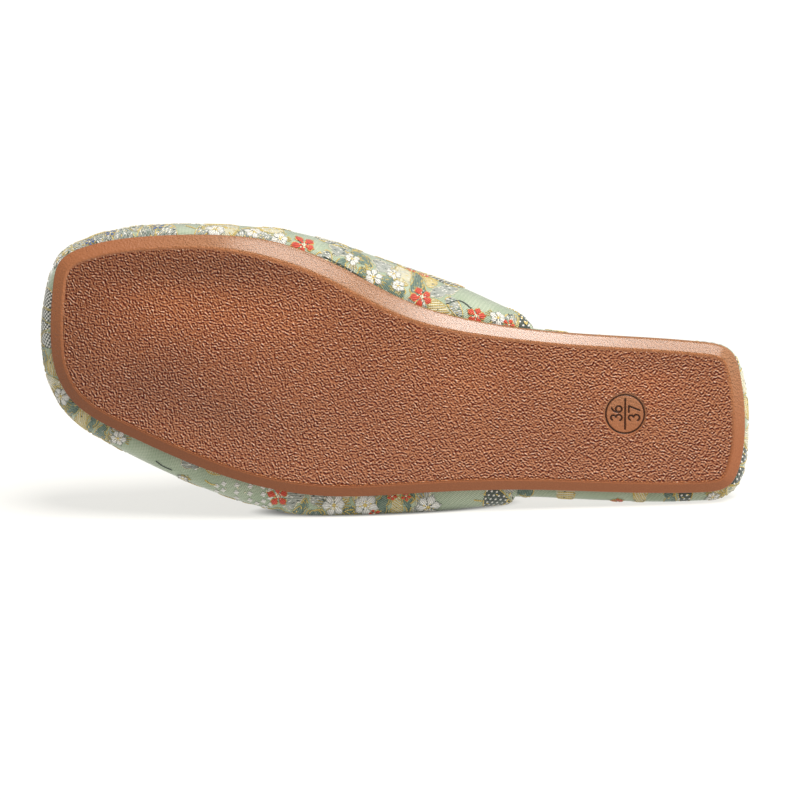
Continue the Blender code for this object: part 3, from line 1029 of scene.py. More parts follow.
def joined_at_toe(sheet, lowest=0.0):
    """Places in the frame and faces of a grid whose two halves share their last row, kept above the floor."""
    rows, columns = sheet.shape[:2]
    points = lay(sheet.reshape(-1, 3))
    points[:, 2] = np.maximum(points[:, 2], lowest * MM)
    toe_row = np.arange((rows - 1) * columns, rows * columns)
    half = columns // 2
    number = np.arange(rows * columns)
    number[toe_row[half + 1 :]] = toe_row[:half][::-1]
    return points[: toe_row[half] + 1], number[quads(rows, columns)][:, ::-1]


def upper_cloth(grid, normal):
    """The brocade of the upper, turned over at the collar and under at the sole."""
    hem = hem_rows(grid, normal)
    points, faces = joined_at_toe(np.concatenate((hem, grid)))
    flat = flatten(points / MM, faces)
    columns = grid.shape[1]
    ridge_start, ridge_end = flat[len(hem) * columns + columns // 2], flat[-1]
    way = (ridge_end - ridge_start) / np.linalg.norm(ridge_end - ridge_start)
    flat = (flat - ridge_start) @ np.array(((way[0], -way[1]), (way[1], way[0])))
    return Cloth("upper sheet", points, faces, flat)


def make_lining(grid, normal, finish):
    """The lining, a thin sheet inside the upper that starts under the turned-in cloth."""
    sheet = (grid - LINING_DEPTH * normal)[LINING_START:]
    points, faces = joined_at_toe(sheet, LINING_DEPTH)
    piece = new_piece("upper_lining", points, faces, finish)
    give(piece, "flat", sheet.reshape(-1, 3)[: len(points)])
    thicken(piece, CLOTH_THICKNESS)
    return piece


# Embroidery

PATCH_STEP = 1.5
STITCH_PITCH = 0.62
TOOTH_STEP = 0.45
TOOTH_DEPTH = 0.3
FLAT_LIFT = 0.14
RAISED_LIFT = 0.42
OUTLINE_WIDTH = 0.4
CELL_REACH = 8.5
CELL_GAP = 8.5
CELL_INSET = 0.3
BOUQUET_GAP = 16.0
HATCH_PITCH = 0.85
STAR_GAP = 2.8
STAR_REPEAT = np.array((STAR_GAP, STAR_GAP * math.sqrt(3)))
TWIG_WIDTH = 0.6
SCATTER_TRIES = 4000
SEED = 11

# Threads: the main colour, as the photograph shows it in middling light, and the one woven in with it
THREADS = {
    "red": ((212, 62, 10), (172, 30, 8)),
    "white": ((232, 229, 220), (190, 194, 190)),
    "gold": ((206, 178, 84), (228, 212, 150)),
    "teal": ((82, 108, 94), (150, 166, 142)),
    "lavender": ((146, 152, 142), (208, 208, 196)),
    "blue": ((52, 84, 136), (120, 142, 166)),
    "twig": ((52, 64, 56), (92, 106, 92)),
    "ivory": ((222, 214, 182), (188, 190, 158)),
}

# What the photograph shows along the upper's edge, as pixels of it: fills, flowers with a radius in mm, lines
FILL_PIXELS = (
    ("teal", (344, 263), (361, 271), (385, 286), (419, 281), (43, 354), (69, 409), (92, 423), (103, 431)),
    ("teal", (302, 506), (409, 503), (364, 262), (315, 512), (350, 514), (384, 505), (440, 514)),
    ("lavender", (338, 253), (382, 266), (442, 290), (352, 268), (296, 502), (318, 503), (418, 506)),
    ("medley", (136, 228), (78, 246), (100, 238), (125, 231), (146, 229), (168, 231), (66, 252), (205, 233)),
    ("medley", (240, 237), (265, 236), (325, 254), (452, 305), (512, 321), (113, 434)),
    ("hatch", (430, 283), (444, 311), (42, 349), (397, 507), (83, 420), (42, 365)),
    ("stars", (221, 487), (236, 491), (250, 495), (262, 499)),
    ("night", (524, 324), (43, 371), (495, 501)),
    ("checks", (47, 303), (43, 326), (45, 338), (45, 314)),
    ("plain", (480, 296), (186, 228), (53, 273), (148, 453), (457, 505), (125, 446), (170, 470), (200, 482)),
    ("plain", (135, 449), (468, 302), (500, 309), (445, 505), (470, 504), (290, 240), (318, 247)),
    ("pale", (45, 383), (230, 231), (270, 231), (405, 276), (54, 390), (334, 505), (366, 507)),
)
FLOWER_PIXELS = (
    ("red", (304, 245, 5.0), (422, 297, 4.7), (476, 316, 4.2), (278, 496, 4.2)),
    ("red", (411, 271, 2.4), (424, 276, 2.4), (459, 286, 2.2), (509, 325, 2.6)),
    ("red", (392, 496, 2.2), (406, 496, 2.2), (374, 513, 2.4), (336, 516, 2.4)),
    ("white", (216, 230, 4.2), (254, 232, 3.6), (280, 239, 3.6), (352, 259, 3.4), (373, 277, 3.6)),
    ("white", (394, 274, 3.4), (398, 286, 2.8), (498, 318, 3.4), (58, 260, 3.2), (61, 396, 4.2)),
    ("white", (118, 438, 3.6), (334, 505, 4.6), (365, 505, 5.2), (428, 507, 4.8), (183, 478, 2.2)),
    ("blue", (158, 227, 3.0), (111, 233, 2.8), (90, 242, 2.8)),
)
LINE_PIXELS = (
    ("twig", (446, 304), (460, 301), (472, 309)),
    ("twig", (156, 461), (163, 466), (172, 470)),
    # These three lines of dark twig thread follow the crease between sole and cloth, as a painted shadow of
    # the crease.
    ("twig", (324, 257), (346, 268), (364, 279)),
    ("twig", (378, 289), (394, 296), (408, 303)),
    ("twig", (432, 311), (444, 315), (458, 319)),
    ("gold", (205, 480), (211, 484), (217, 485)),
    ("gold", (186, 226), (196, 229)),
    ("gold", (474, 500), (482, 501)),
)
FILL_WEIGHTS = {
    "plain": 0.26,
    "teal": 0.16,
    "lavender": 0.12,
    "hatch": 0.09,
    "stars": 0.08,
    "night": 0.05,
    "checks": 0.03,
    "pale": 0.06,
    "medley": 0.05,
}


class Chart:
    """Embroidery drawn flat on the cloth, in millimetres, kept apart by thread."""

    def __init__(self):
        self.threads = {}

    def add(self, thread, places, lift, stitch, faces):
        """Adds places, with their height off the cloth and their place along and across the stitches."""
        store = self.threads.setdefault(thread, {"points": [], "stitch": [], "faces": [], "count": 0})
        store["points"].append(np.column_stack((places, np.broadcast_to(lift, len(places)))))
        store["stitch"].append(stitch)
        faces = np.asarray(faces)
        x, y = np.moveaxis(places[faces], -1, 0)
        turn = np.sum(x * np.roll(y, -1, axis=1) - y * np.roll(x, -1, axis=1), axis=1)
        faces = np.where(turn[:, None] > 0, faces, faces[:, ::-1])
        store["faces"] += (faces + store["count"]).tolist()
        store["count"] += len(places)


def stitched(places, angle):
    """Places measured along and across stitches that run at an angle."""
    way = direction(angle)
    return np.column_stack((places @ way, places @ left_of(way)))


def jagged(loop, draw):
    """A loop whose edge is broken by the ends of stitches."""
    loop = evened(loop, TOOTH_STEP)
    ahead = np.roll(loop, -1, axis=0) - np.roll(loop, 1, axis=0)
    out = np.column_stack((ahead[:, 1], -ahead[:, 0]))
    out /= np.maximum(np.linalg.norm(out, axis=1, keepdims=True), 1e-6)
    tooth = np.arange(len(loop)) % 2 - 0.5 + draw.uniform(-0.5, 0.5, len(loop))
    return loop + out * tooth[:, None] * TOOTH_DEPTH


def patch(chart, thread, loop, lift, angle, draw):
    """A patch of satin stitch inside a loop, soft and ragged at its edge."""
    loop = jagged(loop, draw)
    places, faces = filled((loop,), net_inside(loop, PATCH_STEP, PATCH_STEP * 0.4))
    rounding = smooth_step(distances(places, loop) / PATCH_STEP)
    chart.add(thread, places, lift * (0.45 + 0.55 * rounding), stitched(places, angle), faces)


def ribbon(chart, thread, line, width, lift):
    """A thread couched along a line."""
    way = np.gradient(line, axis=0)
    way /= np.maximum(np.linalg.norm(way, axis=1, keepdims=True), 1e-6)
    side = np.column_stack((-way[:, 1], way[:, 0])) * width / 2
    places = np.stack((line - side, line, line + side), axis=1).reshape(-1, 2)
    run = run_along(line)
    stitch = np.column_stack((np.tile((-width / 2, 0, width / 2), len(line)), np.repeat(run, 3)))
    chart.add(thread, places, np.tile((lift * 0.3, lift, lift * 0.3), len(line)), stitch, quads(len(line), 3))


def broken(chart, thread, line, lift, draw):
    """A couched outline with gaps, where it dips under the weave."""
    start = 0
    while start < len(line) - 3:
        end = start + draw.integers(4, 11)
        ribbon(chart, thread, line[start:end], OUTLINE_WIDTH * draw.uniform(0.7, 1.2), lift)
        start = end + draw.integers(0, 3)


def spots(chart, thread, centres, radius, lift, sides=8, turn=0.0, waist=1.0, stretch=1.0):
    """Small raised spots; waist draws in every other corner, and stretch makes them long."""
    angle = np.linspace(0, 2 * math.pi, sides + 1)[:-1]
    reach = radius * np.where(np.arange(sides) % 2, waist, 1.0)
    ring = np.column_stack((np.cos(angle) * stretch, np.sin(angle))) * reach[:, None]
    shape = np.concatenate((np.zeros((1, 2)), ring @ turning(turn)))
    heights = np.concatenate(((lift,), np.full(sides, lift * 0.5)))
    faces = [(0, 1 + k, 1 + (k + 1) % sides) for k in range(sides)]
    for centre in centres:
        chart.add(thread, centre + shape, heights, stitched(shape, turn), faces)


def flecks(chart, threads, loop, gap, angle, draw):
    """Single stitches in several threads, strewn inside a loop."""
    net = hex_points(loop.min(axis=0), loop.max(axis=0), gap)
    net = net + draw.uniform(-0.4, 0.4, net.shape) * gap
    for place in net[inside(net, loop)]:
        lean = angle + draw.uniform(-0.5, 0.5)
        size = draw.uniform(0.2, 0.34)
        thread = str(draw.choice(threads))
        spots(chart, thread, [place], size, FLAT_LIFT * 2.4, 4, lean, 1.0, draw.uniform(1.4, 3.0))


def petal(chart, thread, edging, centre, angle, length, width, draw):
    """One raised petal of long stitches, ragged at its end, with a thin edge in another thread."""
    run = np.linspace(0, 1, 7)[:, None]
    spread = np.linspace(-1, 1, 9)[None, :]
    tip = np.sqrt(np.maximum(1 - (np.maximum(run - 0.6, 0) / 0.4) ** 2, 0))
    belly = tip * (0.3 + 0.7 * smooth_step(run / 0.6))
    out = length * (0.14 + 0.86 * run * (1 - 0.2 * run * spread**2)) + draw.uniform(-0.1, 0.1, (7, 9)) * run
    aside = width / 2 * belly * spread + draw.uniform(-0.07, 0.07, (7, 9))
    way = direction(angle)
    places = centre + out[..., None] * way + aside[..., None] * left_of(way)
    lift = RAISED_LIFT * (0.35 + 0.65 * np.sin(math.pi * (0.15 + 0.8 * run))) * (1 - 0.4 * spread**4)
    stitch = np.stack((out, np.broadcast_to(aside, out.shape)), axis=-1).reshape(-1, 2)
    chart.add(thread, places.reshape(-1, 2), lift.ravel(), stitch, quads(7, 9))
    edge = np.concatenate((places[2:-1, 0], places[-1], places[-2:1:-1, -1]))
    edge = edge + (edge - places[3].mean(axis=0)) * 0.04
    broken(chart, edging, smooth_line(edge, 24), RAISED_LIFT * 0.9, draw)


def flower(chart, centre, radius, turn, thread, draw):
    """A raised blossom: uneven petals round a worked middle; a white one has a fringe of gold stitches."""
    white = thread == "white"
    petals = 6 if white else 5
    edging, middle = ("lavender", "gold") if white else ("gold", "ivory")
    for k in range(petals):
        angle = turn + 2 * math.pi * (k + draw.uniform(-0.12, 0.12)) / petals
        length = radius * draw.uniform(0.8, 1.12)
        petal(chart, thread, edging, centre, angle, length, radius * draw.uniform(0.52, 0.64), draw)
        if white and draw.random() < 0.6:
            for lean in np.linspace(-0.32, 0.32, 4):
                out = np.linspace(0.86, draw.uniform(1.15, 1.4), 4)[:, None]
                line = centre + direction(angle + lean) * length * out
                ribbon(chart, "gold", line, OUTLINE_WIDTH * 0.8, RAISED_LIFT * 0.9)
    spots(chart, middle, [centre], radius * 0.2, RAISED_LIFT * 1.2, 8, turn, 0.7)
    for place in circle(centre, radius * 0.3, petals * 2) + draw.normal(0, 0.05 * radius, (petals * 2, 2)):
        speck = str(draw.choice((middle, "twig", "gold")))
        spots(chart, speck, [place], radius * draw.uniform(0.05, 0.09), RAISED_LIFT * 1.25, 5)


def leaf(chart, thread, start, end, width):
    """An almond of slanted stitches."""
    run = np.linspace(0, 1, 9)
    spread = np.linspace(-1, 1, 5)
    way = end - start
    side = left_of(way) / np.linalg.norm(way) * width / 2
    belly = np.sin(run * math.pi) ** 0.8
    places = start + run[:, None, None] * way + (belly[:, None] * spread)[..., None] * side
    lift = np.repeat((FLAT_LIFT * 2 * (1 - 0.5 * np.abs(spread)))[None], len(run), axis=0)
    places = places.reshape(-1, 2)
    chart.add(thread, places, lift.ravel(), stitched(places, math.atan2(way[1], way[0]) + 0.8), quads(9, 5))


def sprig(chart, centre, turn, size, draw):
    """A twig with leaves in two threads."""
    bend = np.array(((-1.0, -0.15), (-0.4, 0.12), (0.3, 0.05), (1.0, 0.35))) * size
    line = smooth_line(bend @ turning(turn) + centre, 16)
    ribbon(chart, "twig", line, 0.55, FLAT_LIFT * 2.2)
    for k, thread in ((3, "teal"), (6, "gold"), (9, "teal"), (12, "gold")):
        lean = turn + draw.choice((-1, 1)) * draw.uniform(0.6, 1.0)
        leaf(chart, thread, line[k], line[k] + size * 0.42 * direction(lean), size * 0.2)


def cell(seeds, i):
    """The part of the cloth that is nearer to one seed than to the others, as a rounded loop."""
    loop = circle(seeds[i], CELL_REACH, 24)
    order = np.argsort(np.hypot(*(seeds - seeds[i]).T))[1:14]
    for other in seeds[order]:
        way = other - seeds[i]
        side = (loop - (other + seeds[i]) / 2) @ way
        corners = []
        for k in range(len(loop)):
            j = (k + 1) % len(loop)
            if side[k] <= 0:
                corners.append(loop[k])
            if (side[k] <= 0) != (side[j] <= 0):
                corners.append(loop[k] + (loop[j] - loop[k]) * side[k] / (side[k] - side[j]))
        loop = np.array(corners)
    for _ in range(3):
        ahead = np.roll(loop, -1, axis=0)
        loop = np.stack((0.75 * loop + 0.25 * ahead, 0.25 * loop + 0.75 * ahead), axis=1).reshape(-1, 2)
    reach = loop - seeds[i]
    length = np.linalg.norm(reach, axis=1, keepdims=True)
    return evened(seeds[i] + reach * (1 - CELL_INSET / length), 0.9)


def evened(loop, step):
    """A loop with its points evenly spaced."""
    closed = np.concatenate((loop, loop[:1]))
    run = run_along(closed)
    even = np.linspace(0, run[-1], max(round(run[-1] / step), 8) + 1)[:-1]
    return np.column_stack([np.interp(even, run, column) for column in closed.T])


def scalloped(loop, seed):
    """A loop with its edge drawn in small clouds."""
    loop = evened(loop, 0.7)
    run = np.arange(len(loop)) / len(loop)
    clouds = max(round(len(loop) * 0.7 / 6.0), 3)
    bulge = np.abs(np.sin(run * clouds * math.pi)) * 0.9 - 0.8
    reach = loop - seed
    return loop + reach / np.linalg.norm(reach, axis=1, keepdims=True) * bulge[:, None]


# Fillings: the ground thread, the outline's thread, and the threads strewn on it with their gap in mm
FILLS = {
    "teal": ("teal", "gold", ("lavender", "gold", "twig"), 3.2),
    "lavender": ("lavender", "ivory", ("white", "twig", "white"), 2.0),
    "pale": ("ivory", "gold", ("white", "gold", "lavender"), 1.9),
    "medley": ("lavender", "gold", ("twig", "gold", "white", "ivory", "teal", "white"), 1.15),
    "hatch": ("ivory", "gold", ("twig", "white"), 3.4),
    "stars": (None, None, ("ivory",), 6.0),
    "night": ("twig", "gold", ("gold", "teal"), 3.0),
    "checks": ("twig", "gold", ("lavender",), 4.0),
}


def fill_cell(chart, kind, loop, seed, draw):
    """Embroiders one patch of the brocade in its kind of filling."""
    if kind == "plain":
        return
    angle = draw.uniform(0, math.pi)
    ground, outline, strewn, gap = FILLS[kind]
    if kind in ("teal", "lavender"):
        loop = scalloped(loop, seed)
    if ground:
        patch(chart, ground, loop, FLAT_LIFT, angle, draw)
        broken(chart, outline, np.concatenate((loop, loop[:2])), FLAT_LIFT * 2.2, draw)
    flecks(chart, strewn, loop, gap, angle, draw)
    box = loop.min(axis=0), loop.max(axis=0)
    if kind == "hatch":
        hatch(chart, loop, angle)
    elif kind == "stars":
        box = (box[0] // STAR_REPEAT * STAR_REPEAT, box[1])
        strewn_evenly(chart, hex_points(*box, STAR_GAP), loop, 1.15, 8, 0.66)
    elif kind == "night":
        strewn_evenly(chart, hex_points(*box, 1.7), loop, 0.42, 6, 1.0)
    elif kind == "checks":
        strewn_evenly(chart, square_points(*box, 1.7), loop, 0.6, 4, 1.0)
    elif kind == "teal":
        inner = seed + (loop - seed) * 0.62
        broken(chart, "gold", inner[: len(inner) // 2], FLAT_LIFT * 2.2, draw)


def strewn_evenly(chart, centres, loop, radius, sides, waist):
    """White spots on a net, inside a loop."""
    centres = centres[inside(centres, loop)]
    centres = centres[distances(centres, loop) > radius * 0.5]
    spots(chart, "white", centres, radius, FLAT_LIFT * 2.2, sides, math.pi / 4, waist)


def square_points(low, high, step):
    """Points of a chequered net over a box."""
    x, y = np.meshgrid(np.arange(low[0], high[0], step), np.arange(low[1], high[1], step / 2))
    x = x + (np.arange(len(x)) % 2)[:, None] * step / 2
    return np.column_stack((x.ravel(), y.ravel()))


def hatch(chart, loop, angle):
    """Gold lines laid across a patch."""
    way = direction(angle)
    side = left_of(way)
    middle = loop.mean(axis=0)
    reach = np.abs(loop - middle).max() * 1.5
    for offset in np.arange(-reach, reach, HATCH_PITCH):
        line = middle + side * offset + way * np.arange(-reach, reach, 0.6)[:, None]
        held = line[inside(line, loop)]
        if len(held) > 3:
            ribbon(chart, "gold", held, OUTLINE_WIDTH, FLAT_LIFT * 2.2)


def wrap_tree():
    """Lays a flat chart on its cloth: x and y find the place on the cloth, z is the height off it."""
    inputs = [("Cloth", "Object", None), ("Thread", "Material", None), ("Span", "Float", CLOTH_SPAN)]
    tree, given = new_tree("lay on the cloth", inputs)
    nodes = Wire(tree)
    cloth = nodes.node("GeometryNodeObjectInfo", (), {"Object": given["Cloth"]}, "Geometry")
    share = 1 / given["Span"]
    middle = (0.5, 0.5, 0.0)
    named = nodes.stored("cloth", "FLOAT_VECTOR")
    place = nodes.node("GeometryNodeInputPosition")
    found = []
    for value in (place, nodes.node("GeometryNodeInputNormal")):
        sockets = {
            "Mesh": cloth,
            "Value": value,
            "UV Map": named.scaled(share).vector("ADD", middle),
            "Sample UV": place.vector("MULTIPLY", (1, 1, 0)).scaled(share).vector("ADD", middle),
        }
        found.append(nodes.node("GeometryNodeSampleUVSurface", {"data_type": "FLOAT_VECTOR"}, sockets))
    spot, normal = found
    target = spot.vector("ADD", normal.scaled(place.part("Z") * MM))
    missing = nodes.node("FunctionNodeBooleanMath", {"operation": "NOT"}, {0: spot.other("Is Valid")})
    sockets = {"Geometry": given["Geometry"], "Name": "missing", "Value": missing}
    noted = nodes.node("GeometryNodeStoreNamedAttribute", {"data_type": "BOOLEAN"}, sockets)
    above = target.vector("MAXIMUM", (-1.0, -1.0, 0.0))
    laid = nodes.node("GeometryNodeSetPosition", (), {"Geometry": noted, "Position": above})
    sockets = {"Geometry": laid, "Selection": nodes.stored("missing", "BOOLEAN")}
    cut = nodes.node("GeometryNodeDeleteGeometry", (), sockets)
    close_tree(cut, given["Thread"])
    return tree


def thread_paint(colour, woven_in):
    """Silky thread laid side by side, with a furrow between two threads and another colour woven in."""
    main, other = linear(*colour), linear(*woven_in)
    furrow = tuple(share * 0.4 for share in main[:3]) + (1.0,)

    def paint(nodes):
        stitch = nodes.painted("stitch", "Vector")
        across = stitch.part("Y") + noise(stitch, 0.6, 1.0) * 0.3
        strand = across.wave(STITCH_PITCH)
        fibre = noise(stitch, 1.1, 2.0)
        mottle = noise(stitch, 0.4, 2.0).step(0.42, 0.66)
        speck = noise(stitch, 1.9, 1.0).step(0.5, 0.62)
        tone = (mottle * 0.5 + speck * 0.4).blend(main, other)
        tone = (strand.step(0.0, 0.6) * 0.8 + fibre * 0.2).blend(furrow, tone)
        return {"Base Color": tone, "Roughness": 0.4 + fibre * 0.25, "Normal": bump(strand, 0.16, 0.8)}

    return paint


def brocade_paint(nodes):
    """Sage twill with fine slanted ribs and a quiet woven shade."""
    flat = nodes.painted("cloth", "Vector")
    slant = flat.part("X") * 0.5 + flat.part("Y") * 0.866 + noise(flat, 0.25, 1.0) * 0.5
    rib = slant.wave(0.6)
    float_run = (flat.part("X") * 0.866 - flat.part("Y") * 0.5).wave(1.3)
    shade = noise(flat, 0.09, 2.0).step(0.35, 0.65)
    ground = shade.blend(linear(170, 179, 154), linear(190, 196, 173))
    fibre = noise(flat, 2.2, 2.0)
    tone = (rib.step(0.1, 0.8) * 0.45 + float_run * 0.15 + fibre * 0.4).blend(linear(104, 126, 98), ground)
    height = rib * 0.7 + float_run * 0.2 + fibre * 0.1
    return {"Base Color": tone, "Roughness": 0.5 + fibre * 0.2, "Normal": bump(height, 0.14, 0.8)}


def lay_chart(chart, cloth, prefix, finishes):
    """Wraps every thread of a chart onto a cloth, one piece for each thread."""
    tree = wrap_tree()
    pieces = []
    for thread, store in chart.threads.items():
        piece = new_piece(f"{prefix}_{thread}", np.concatenate(store["points"]), store["faces"])
        give(piece, "stitch", np.concatenate(store["stitch"]))
        run_tree(piece, tree, {"Cloth": cloth.sheet, "Thread": finishes[thread]})
        pieces.append(piece)
    return pieces


def seen(cloth, pixels):
    """Places on the cloth for those pixels that show it."""
    found = [cloth.at_pixel(*pixel[:2]) for pixel in pixels]
    return [(place, pixel[2:]) for place, pixel in zip(found, pixels) if place is not None]


def scatter(cloth, taken, gap, draw):
    """Random places on a cloth that keep a gap from each other and from those taken."""
    places = list(taken)
    for trial in draw.uniform(cloth.flat.min(axis=0), cloth.flat.max(axis=0), (SCATTER_TRIES, 2)):
        if np.hypot(*(np.array(places) - trial).T).min() > gap:
            places.append(trial)
    return places[len(taken) :]


def fill_cloth(chart, cloth, fills, gap, draw):
    """Fills a cloth with patches, first where the photograph shows them; returns those first places."""
    kinds, seeds = [], []
    for kind, *pixels in fills:
        for place, _ in seen(cloth, pixels):
            kinds.append(kind)
            seeds.append(place)
    charted = list(seeds)
    weights = np.array(list(FILL_WEIGHTS.values()))
    for place in scatter(cloth, charted, gap, draw):
        kinds.append(draw.choice(list(FILL_WEIGHTS), p=weights / weights.sum()))
        seeds.append(place)
    seeds = np.array(seeds)
    for i, kind in enumerate(kinds):
        fill_cell(chart, str(kind), cell(seeds, i), seeds[i], draw)
    return charted


def upper_chart(cloth):
    """The upper's brocade: patches and blossoms where the photograph shows them, and the like elsewhere."""
    draw = np.random.default_rng(SEED)
    chart = Chart()
    charted = fill_cloth(chart, cloth, FILL_PIXELS, CELL_GAP, draw)
    for thread, *pixels in FLOWER_PIXELS:
        for place, (radius,) in seen(cloth, pixels):
            flower(chart, place, radius, draw.uniform(0, 2), thread, draw)
            charted.append(place)
    for i, place in enumerate(scatter(cloth, charted, BOUQUET_GAP, draw)):
        bouquet(chart, place, draw, i)
    for thread, *pixels in LINE_PIXELS:
        line = [place for place, _ in seen(cloth, pixels)]
        if len(line) > 1:
            ribbon(chart, thread, smooth_line(line, 14), TWIG_WIDTH, FLAT_LIFT * 2.5)
    return chart


def bouquet(chart, place, draw, i):
    """A group of blossoms with a sprig."""
    thread = ("red", "white", "white", "red", "blue")[i % 5]
    radius = draw.uniform(3.8, 5.2) if thread == "red" else draw.uniform(3.0, 4.4)
    turn = draw.uniform(0, 2 * math.pi)
    way = direction(turn)
    sprig(chart, place - way * radius * 0.4, turn + 2.4, radius * 1.9, draw)
    flower(chart, place, radius, turn, thread, draw)
    second = "white" if thread == "red" else "red"
    flower(chart, place + way * radius * 1.55, radius * 0.55, turn, second, draw)


# Footbed, insole and seams

# The footbed's section from its underside over its wrapped edge to its top.
# inset: distance inside its outermost line, share: part of its thickness
FOOTBED_PROFILE = (
    ("underside", 5.0, 0.0),
    ("lower turn", 2.3, 0.04),
    ("lower side", 0.7, 0.22),
    ("outermost line", 0.0, 0.5),
    ("upper side", 0.5, 0.78),
    ("upper turn", 1.6, 0.96),
    ("top", 3.2, 1.0),
)
INSOLE_PROFILE = (
    ("underside", 0.3, 0.0),
    ("side", 0.0, 0.4),
    ("upper turn", 0.5, 0.85),
    ("top", 1.8, 1.0),
)
FOOTBED_STEPS = 20
FOOTBED_EDGE_STEP = 1.2
INSOLE_STEPS = 8
INSOLE_INSET = 1.0
INSOLE_NET = 2.2
INSOLE_PUFF = 0.8
INSOLE_PUFF_RUN = 14.0
SEAT_STEP_START = 57.0
SEAT_STEP_RUN = 15.0
SEAM_INSET = 4.2
SEAM_SINK = 0.35
SEAM_FURROW = 1.2
SEAM_PITCH = 2.6
SEAM_STITCH = (1.0, 0.28, 0.28)
SEAM_LIFT = 0.1
RIM_CELL_GAP = 7.0
RIM_FLOWER_GAP = 24.0

# What the photograph shows on the footbed's edge at the heel
RIM_FILL_PIXELS = (
    ("plain", (530, 497), (545, 497), (582, 498), (595, 498), (610, 497), (625, 497)),
    ("plain", (655, 498), (700, 498)),
    ("hatch", (568, 497), (640, 497), (715, 497)),
    ("teal", (670, 498)),
    ("night", (685, 497), (738, 480)),
    ("pale", (735, 488), (744, 380)),
)


def footbed_seat(along):
    """Height of the footbed's underside: on the sole at the heel, on the turned-in upper before it."""
    return sole_top(along) + GAP + smooth_step((along - SEAT_STEP_START) / SEAT_STEP_RUN) * (UPPER_WALL + GAP)


def footbed_top(along):
    """Height of the footbed's upper face."""
    return sole_top(along) + GAP + FOOTBED_THICKNESS


def footbed_loops(places):
    """Loops of the footbed, whose edge is wrapped in cloth and stands proud of the sole at the heel."""
    columns, edge, outward = last.at(places)
    corners = [(inset, share * FOOTBED_THICKNESS) for _, inset, share in FOOTBED_PROFILE]
    profile = smooth_line(corners, FOOTBED_STEPS)
    loops = []
    for inset, climb in profile:
        along, across = (edge + outward * (columns["rim"] - inset)[:, None]).T
        share = climb / FOOTBED_THICKNESS
        up = footbed_seat(along) * (1 - share) + footbed_top(along) * share
        loops.append(np.stack((along, across, up), axis=1))
    width = np.linalg.norm(np.diff(profile, axis=0), axis=1).sum()
    return np.array(loops), np.linspace(0, width, FOOTBED_STEPS)


def make_footbed(cloth_finish):
    """The footbed wrapped in brocade: a closed piece, and its wrapped edge as a cloth to embroider."""
    places = last.toe + even_places(FOOTBED_EDGE_STEP)
    loops, climb = footbed_loops(places)
    count = len(places)
    points = lay(loops.reshape(-1, 3))
    points[:, 2] = np.maximum(points[:, 2], 0)
    run = places - last.toe - last.length / 2
    flat = np.column_stack((np.tile(run, FOOTBED_STEPS), np.repeat(climb - climb.mean(), count)))
    band = quads(FOOTBED_STEPS, count, True)
    caps = ladder(len(points) - count, count) + [face[::-1] for face in ladder(0, count)]
    piece = new_piece("footbed_cloth", points, list(band) + caps, cloth_finish)
    give(piece, "cloth", flat)
    return piece, Cloth("footbed sheet", points, quads(FOOTBED_STEPS, count), flat)


def rim_chart(cloth):
    """The brocade on the footbed's edge."""
    draw = np.random.default_rng(SEED + 1)
    chart = Chart()
    charted = fill_cloth(chart, cloth, RIM_FILL_PIXELS, RIM_CELL_GAP, draw)
    for i, place in enumerate(scatter(cloth, charted[:1], RIM_FLOWER_GAP, draw)):
        thread = ("red", "white", "blue")[i % 3]
        flower(chart, place, draw.uniform(2.2, 3.2), draw.uniform(0, 2), thread, draw)
    return chart


def insole_edge(places, inset):
    """Line inside the insole's edge, on the last."""
    columns, edge, outward = last.at(places)
    return edge + outward * (np.minimum(columns["rim"] - INSOLE_INSET, 0) - inset)[:, None]


def insole_up(along, room):
    """Height of the insole's upper face, at some distance from its edge."""
    return footbed_top(along) + GAP + INSOLE_THICKNESS + INSOLE_PUFF * smooth_step(room / INSOLE_PUFF_RUN)


def make_insole(sock):
    """The padded sock on the footbed."""
    places = last.toe + even_places(INSOLE_NET)
    count = len(places)
    corners = [(inset, share * INSOLE_THICKNESS) for _, inset, share in INSOLE_PROFILE]
    profile = smooth_line(corners, INSOLE_STEPS)
    loops = []
    for inset, climb in profile:
        along, across = insole_edge(places, inset).T
        loops.append(np.stack((along, across, footbed_top(along) + GAP + climb), axis=1))
    rim = loops[-1][:, :2]
    flat, triangles = filled((rim,), net_inside(rim, INSOLE_NET, INSOLE_NET / 2))
    room = distances(flat, rim)
    seam = np.exp(-(((room - SEAM_INSET) / SEAM_FURROW) ** 2)) * SEAM_SINK
    top = np.column_stack((flat, insole_up(flat[:, 0], room) - seam))
    side = np.array(loops[:-1]).reshape(-1, 3)
    points = np.concatenate((side, top))
    under = [face[::-1] for face in ladder(0, count)]
    lid = [[len(side) + k for k in face] for face in triangles]
    piece = new_piece("insole_sock", lay(points), list(quads(INSOLE_STEPS, count, True)) + under + lid, sock)
    give(piece, "flat", points)
    return piece


def new_line(name, points, closed):
    """A piece that is only a line."""
    mesh = bpy.data.meshes.new(name)
    edges = [(i, i + 1) for i in range(len(points) - 1)] + [(len(points) - 1, 0)] * closed
    mesh.from_pydata(points.tolist(), edges, [])
    return put(name, mesh)


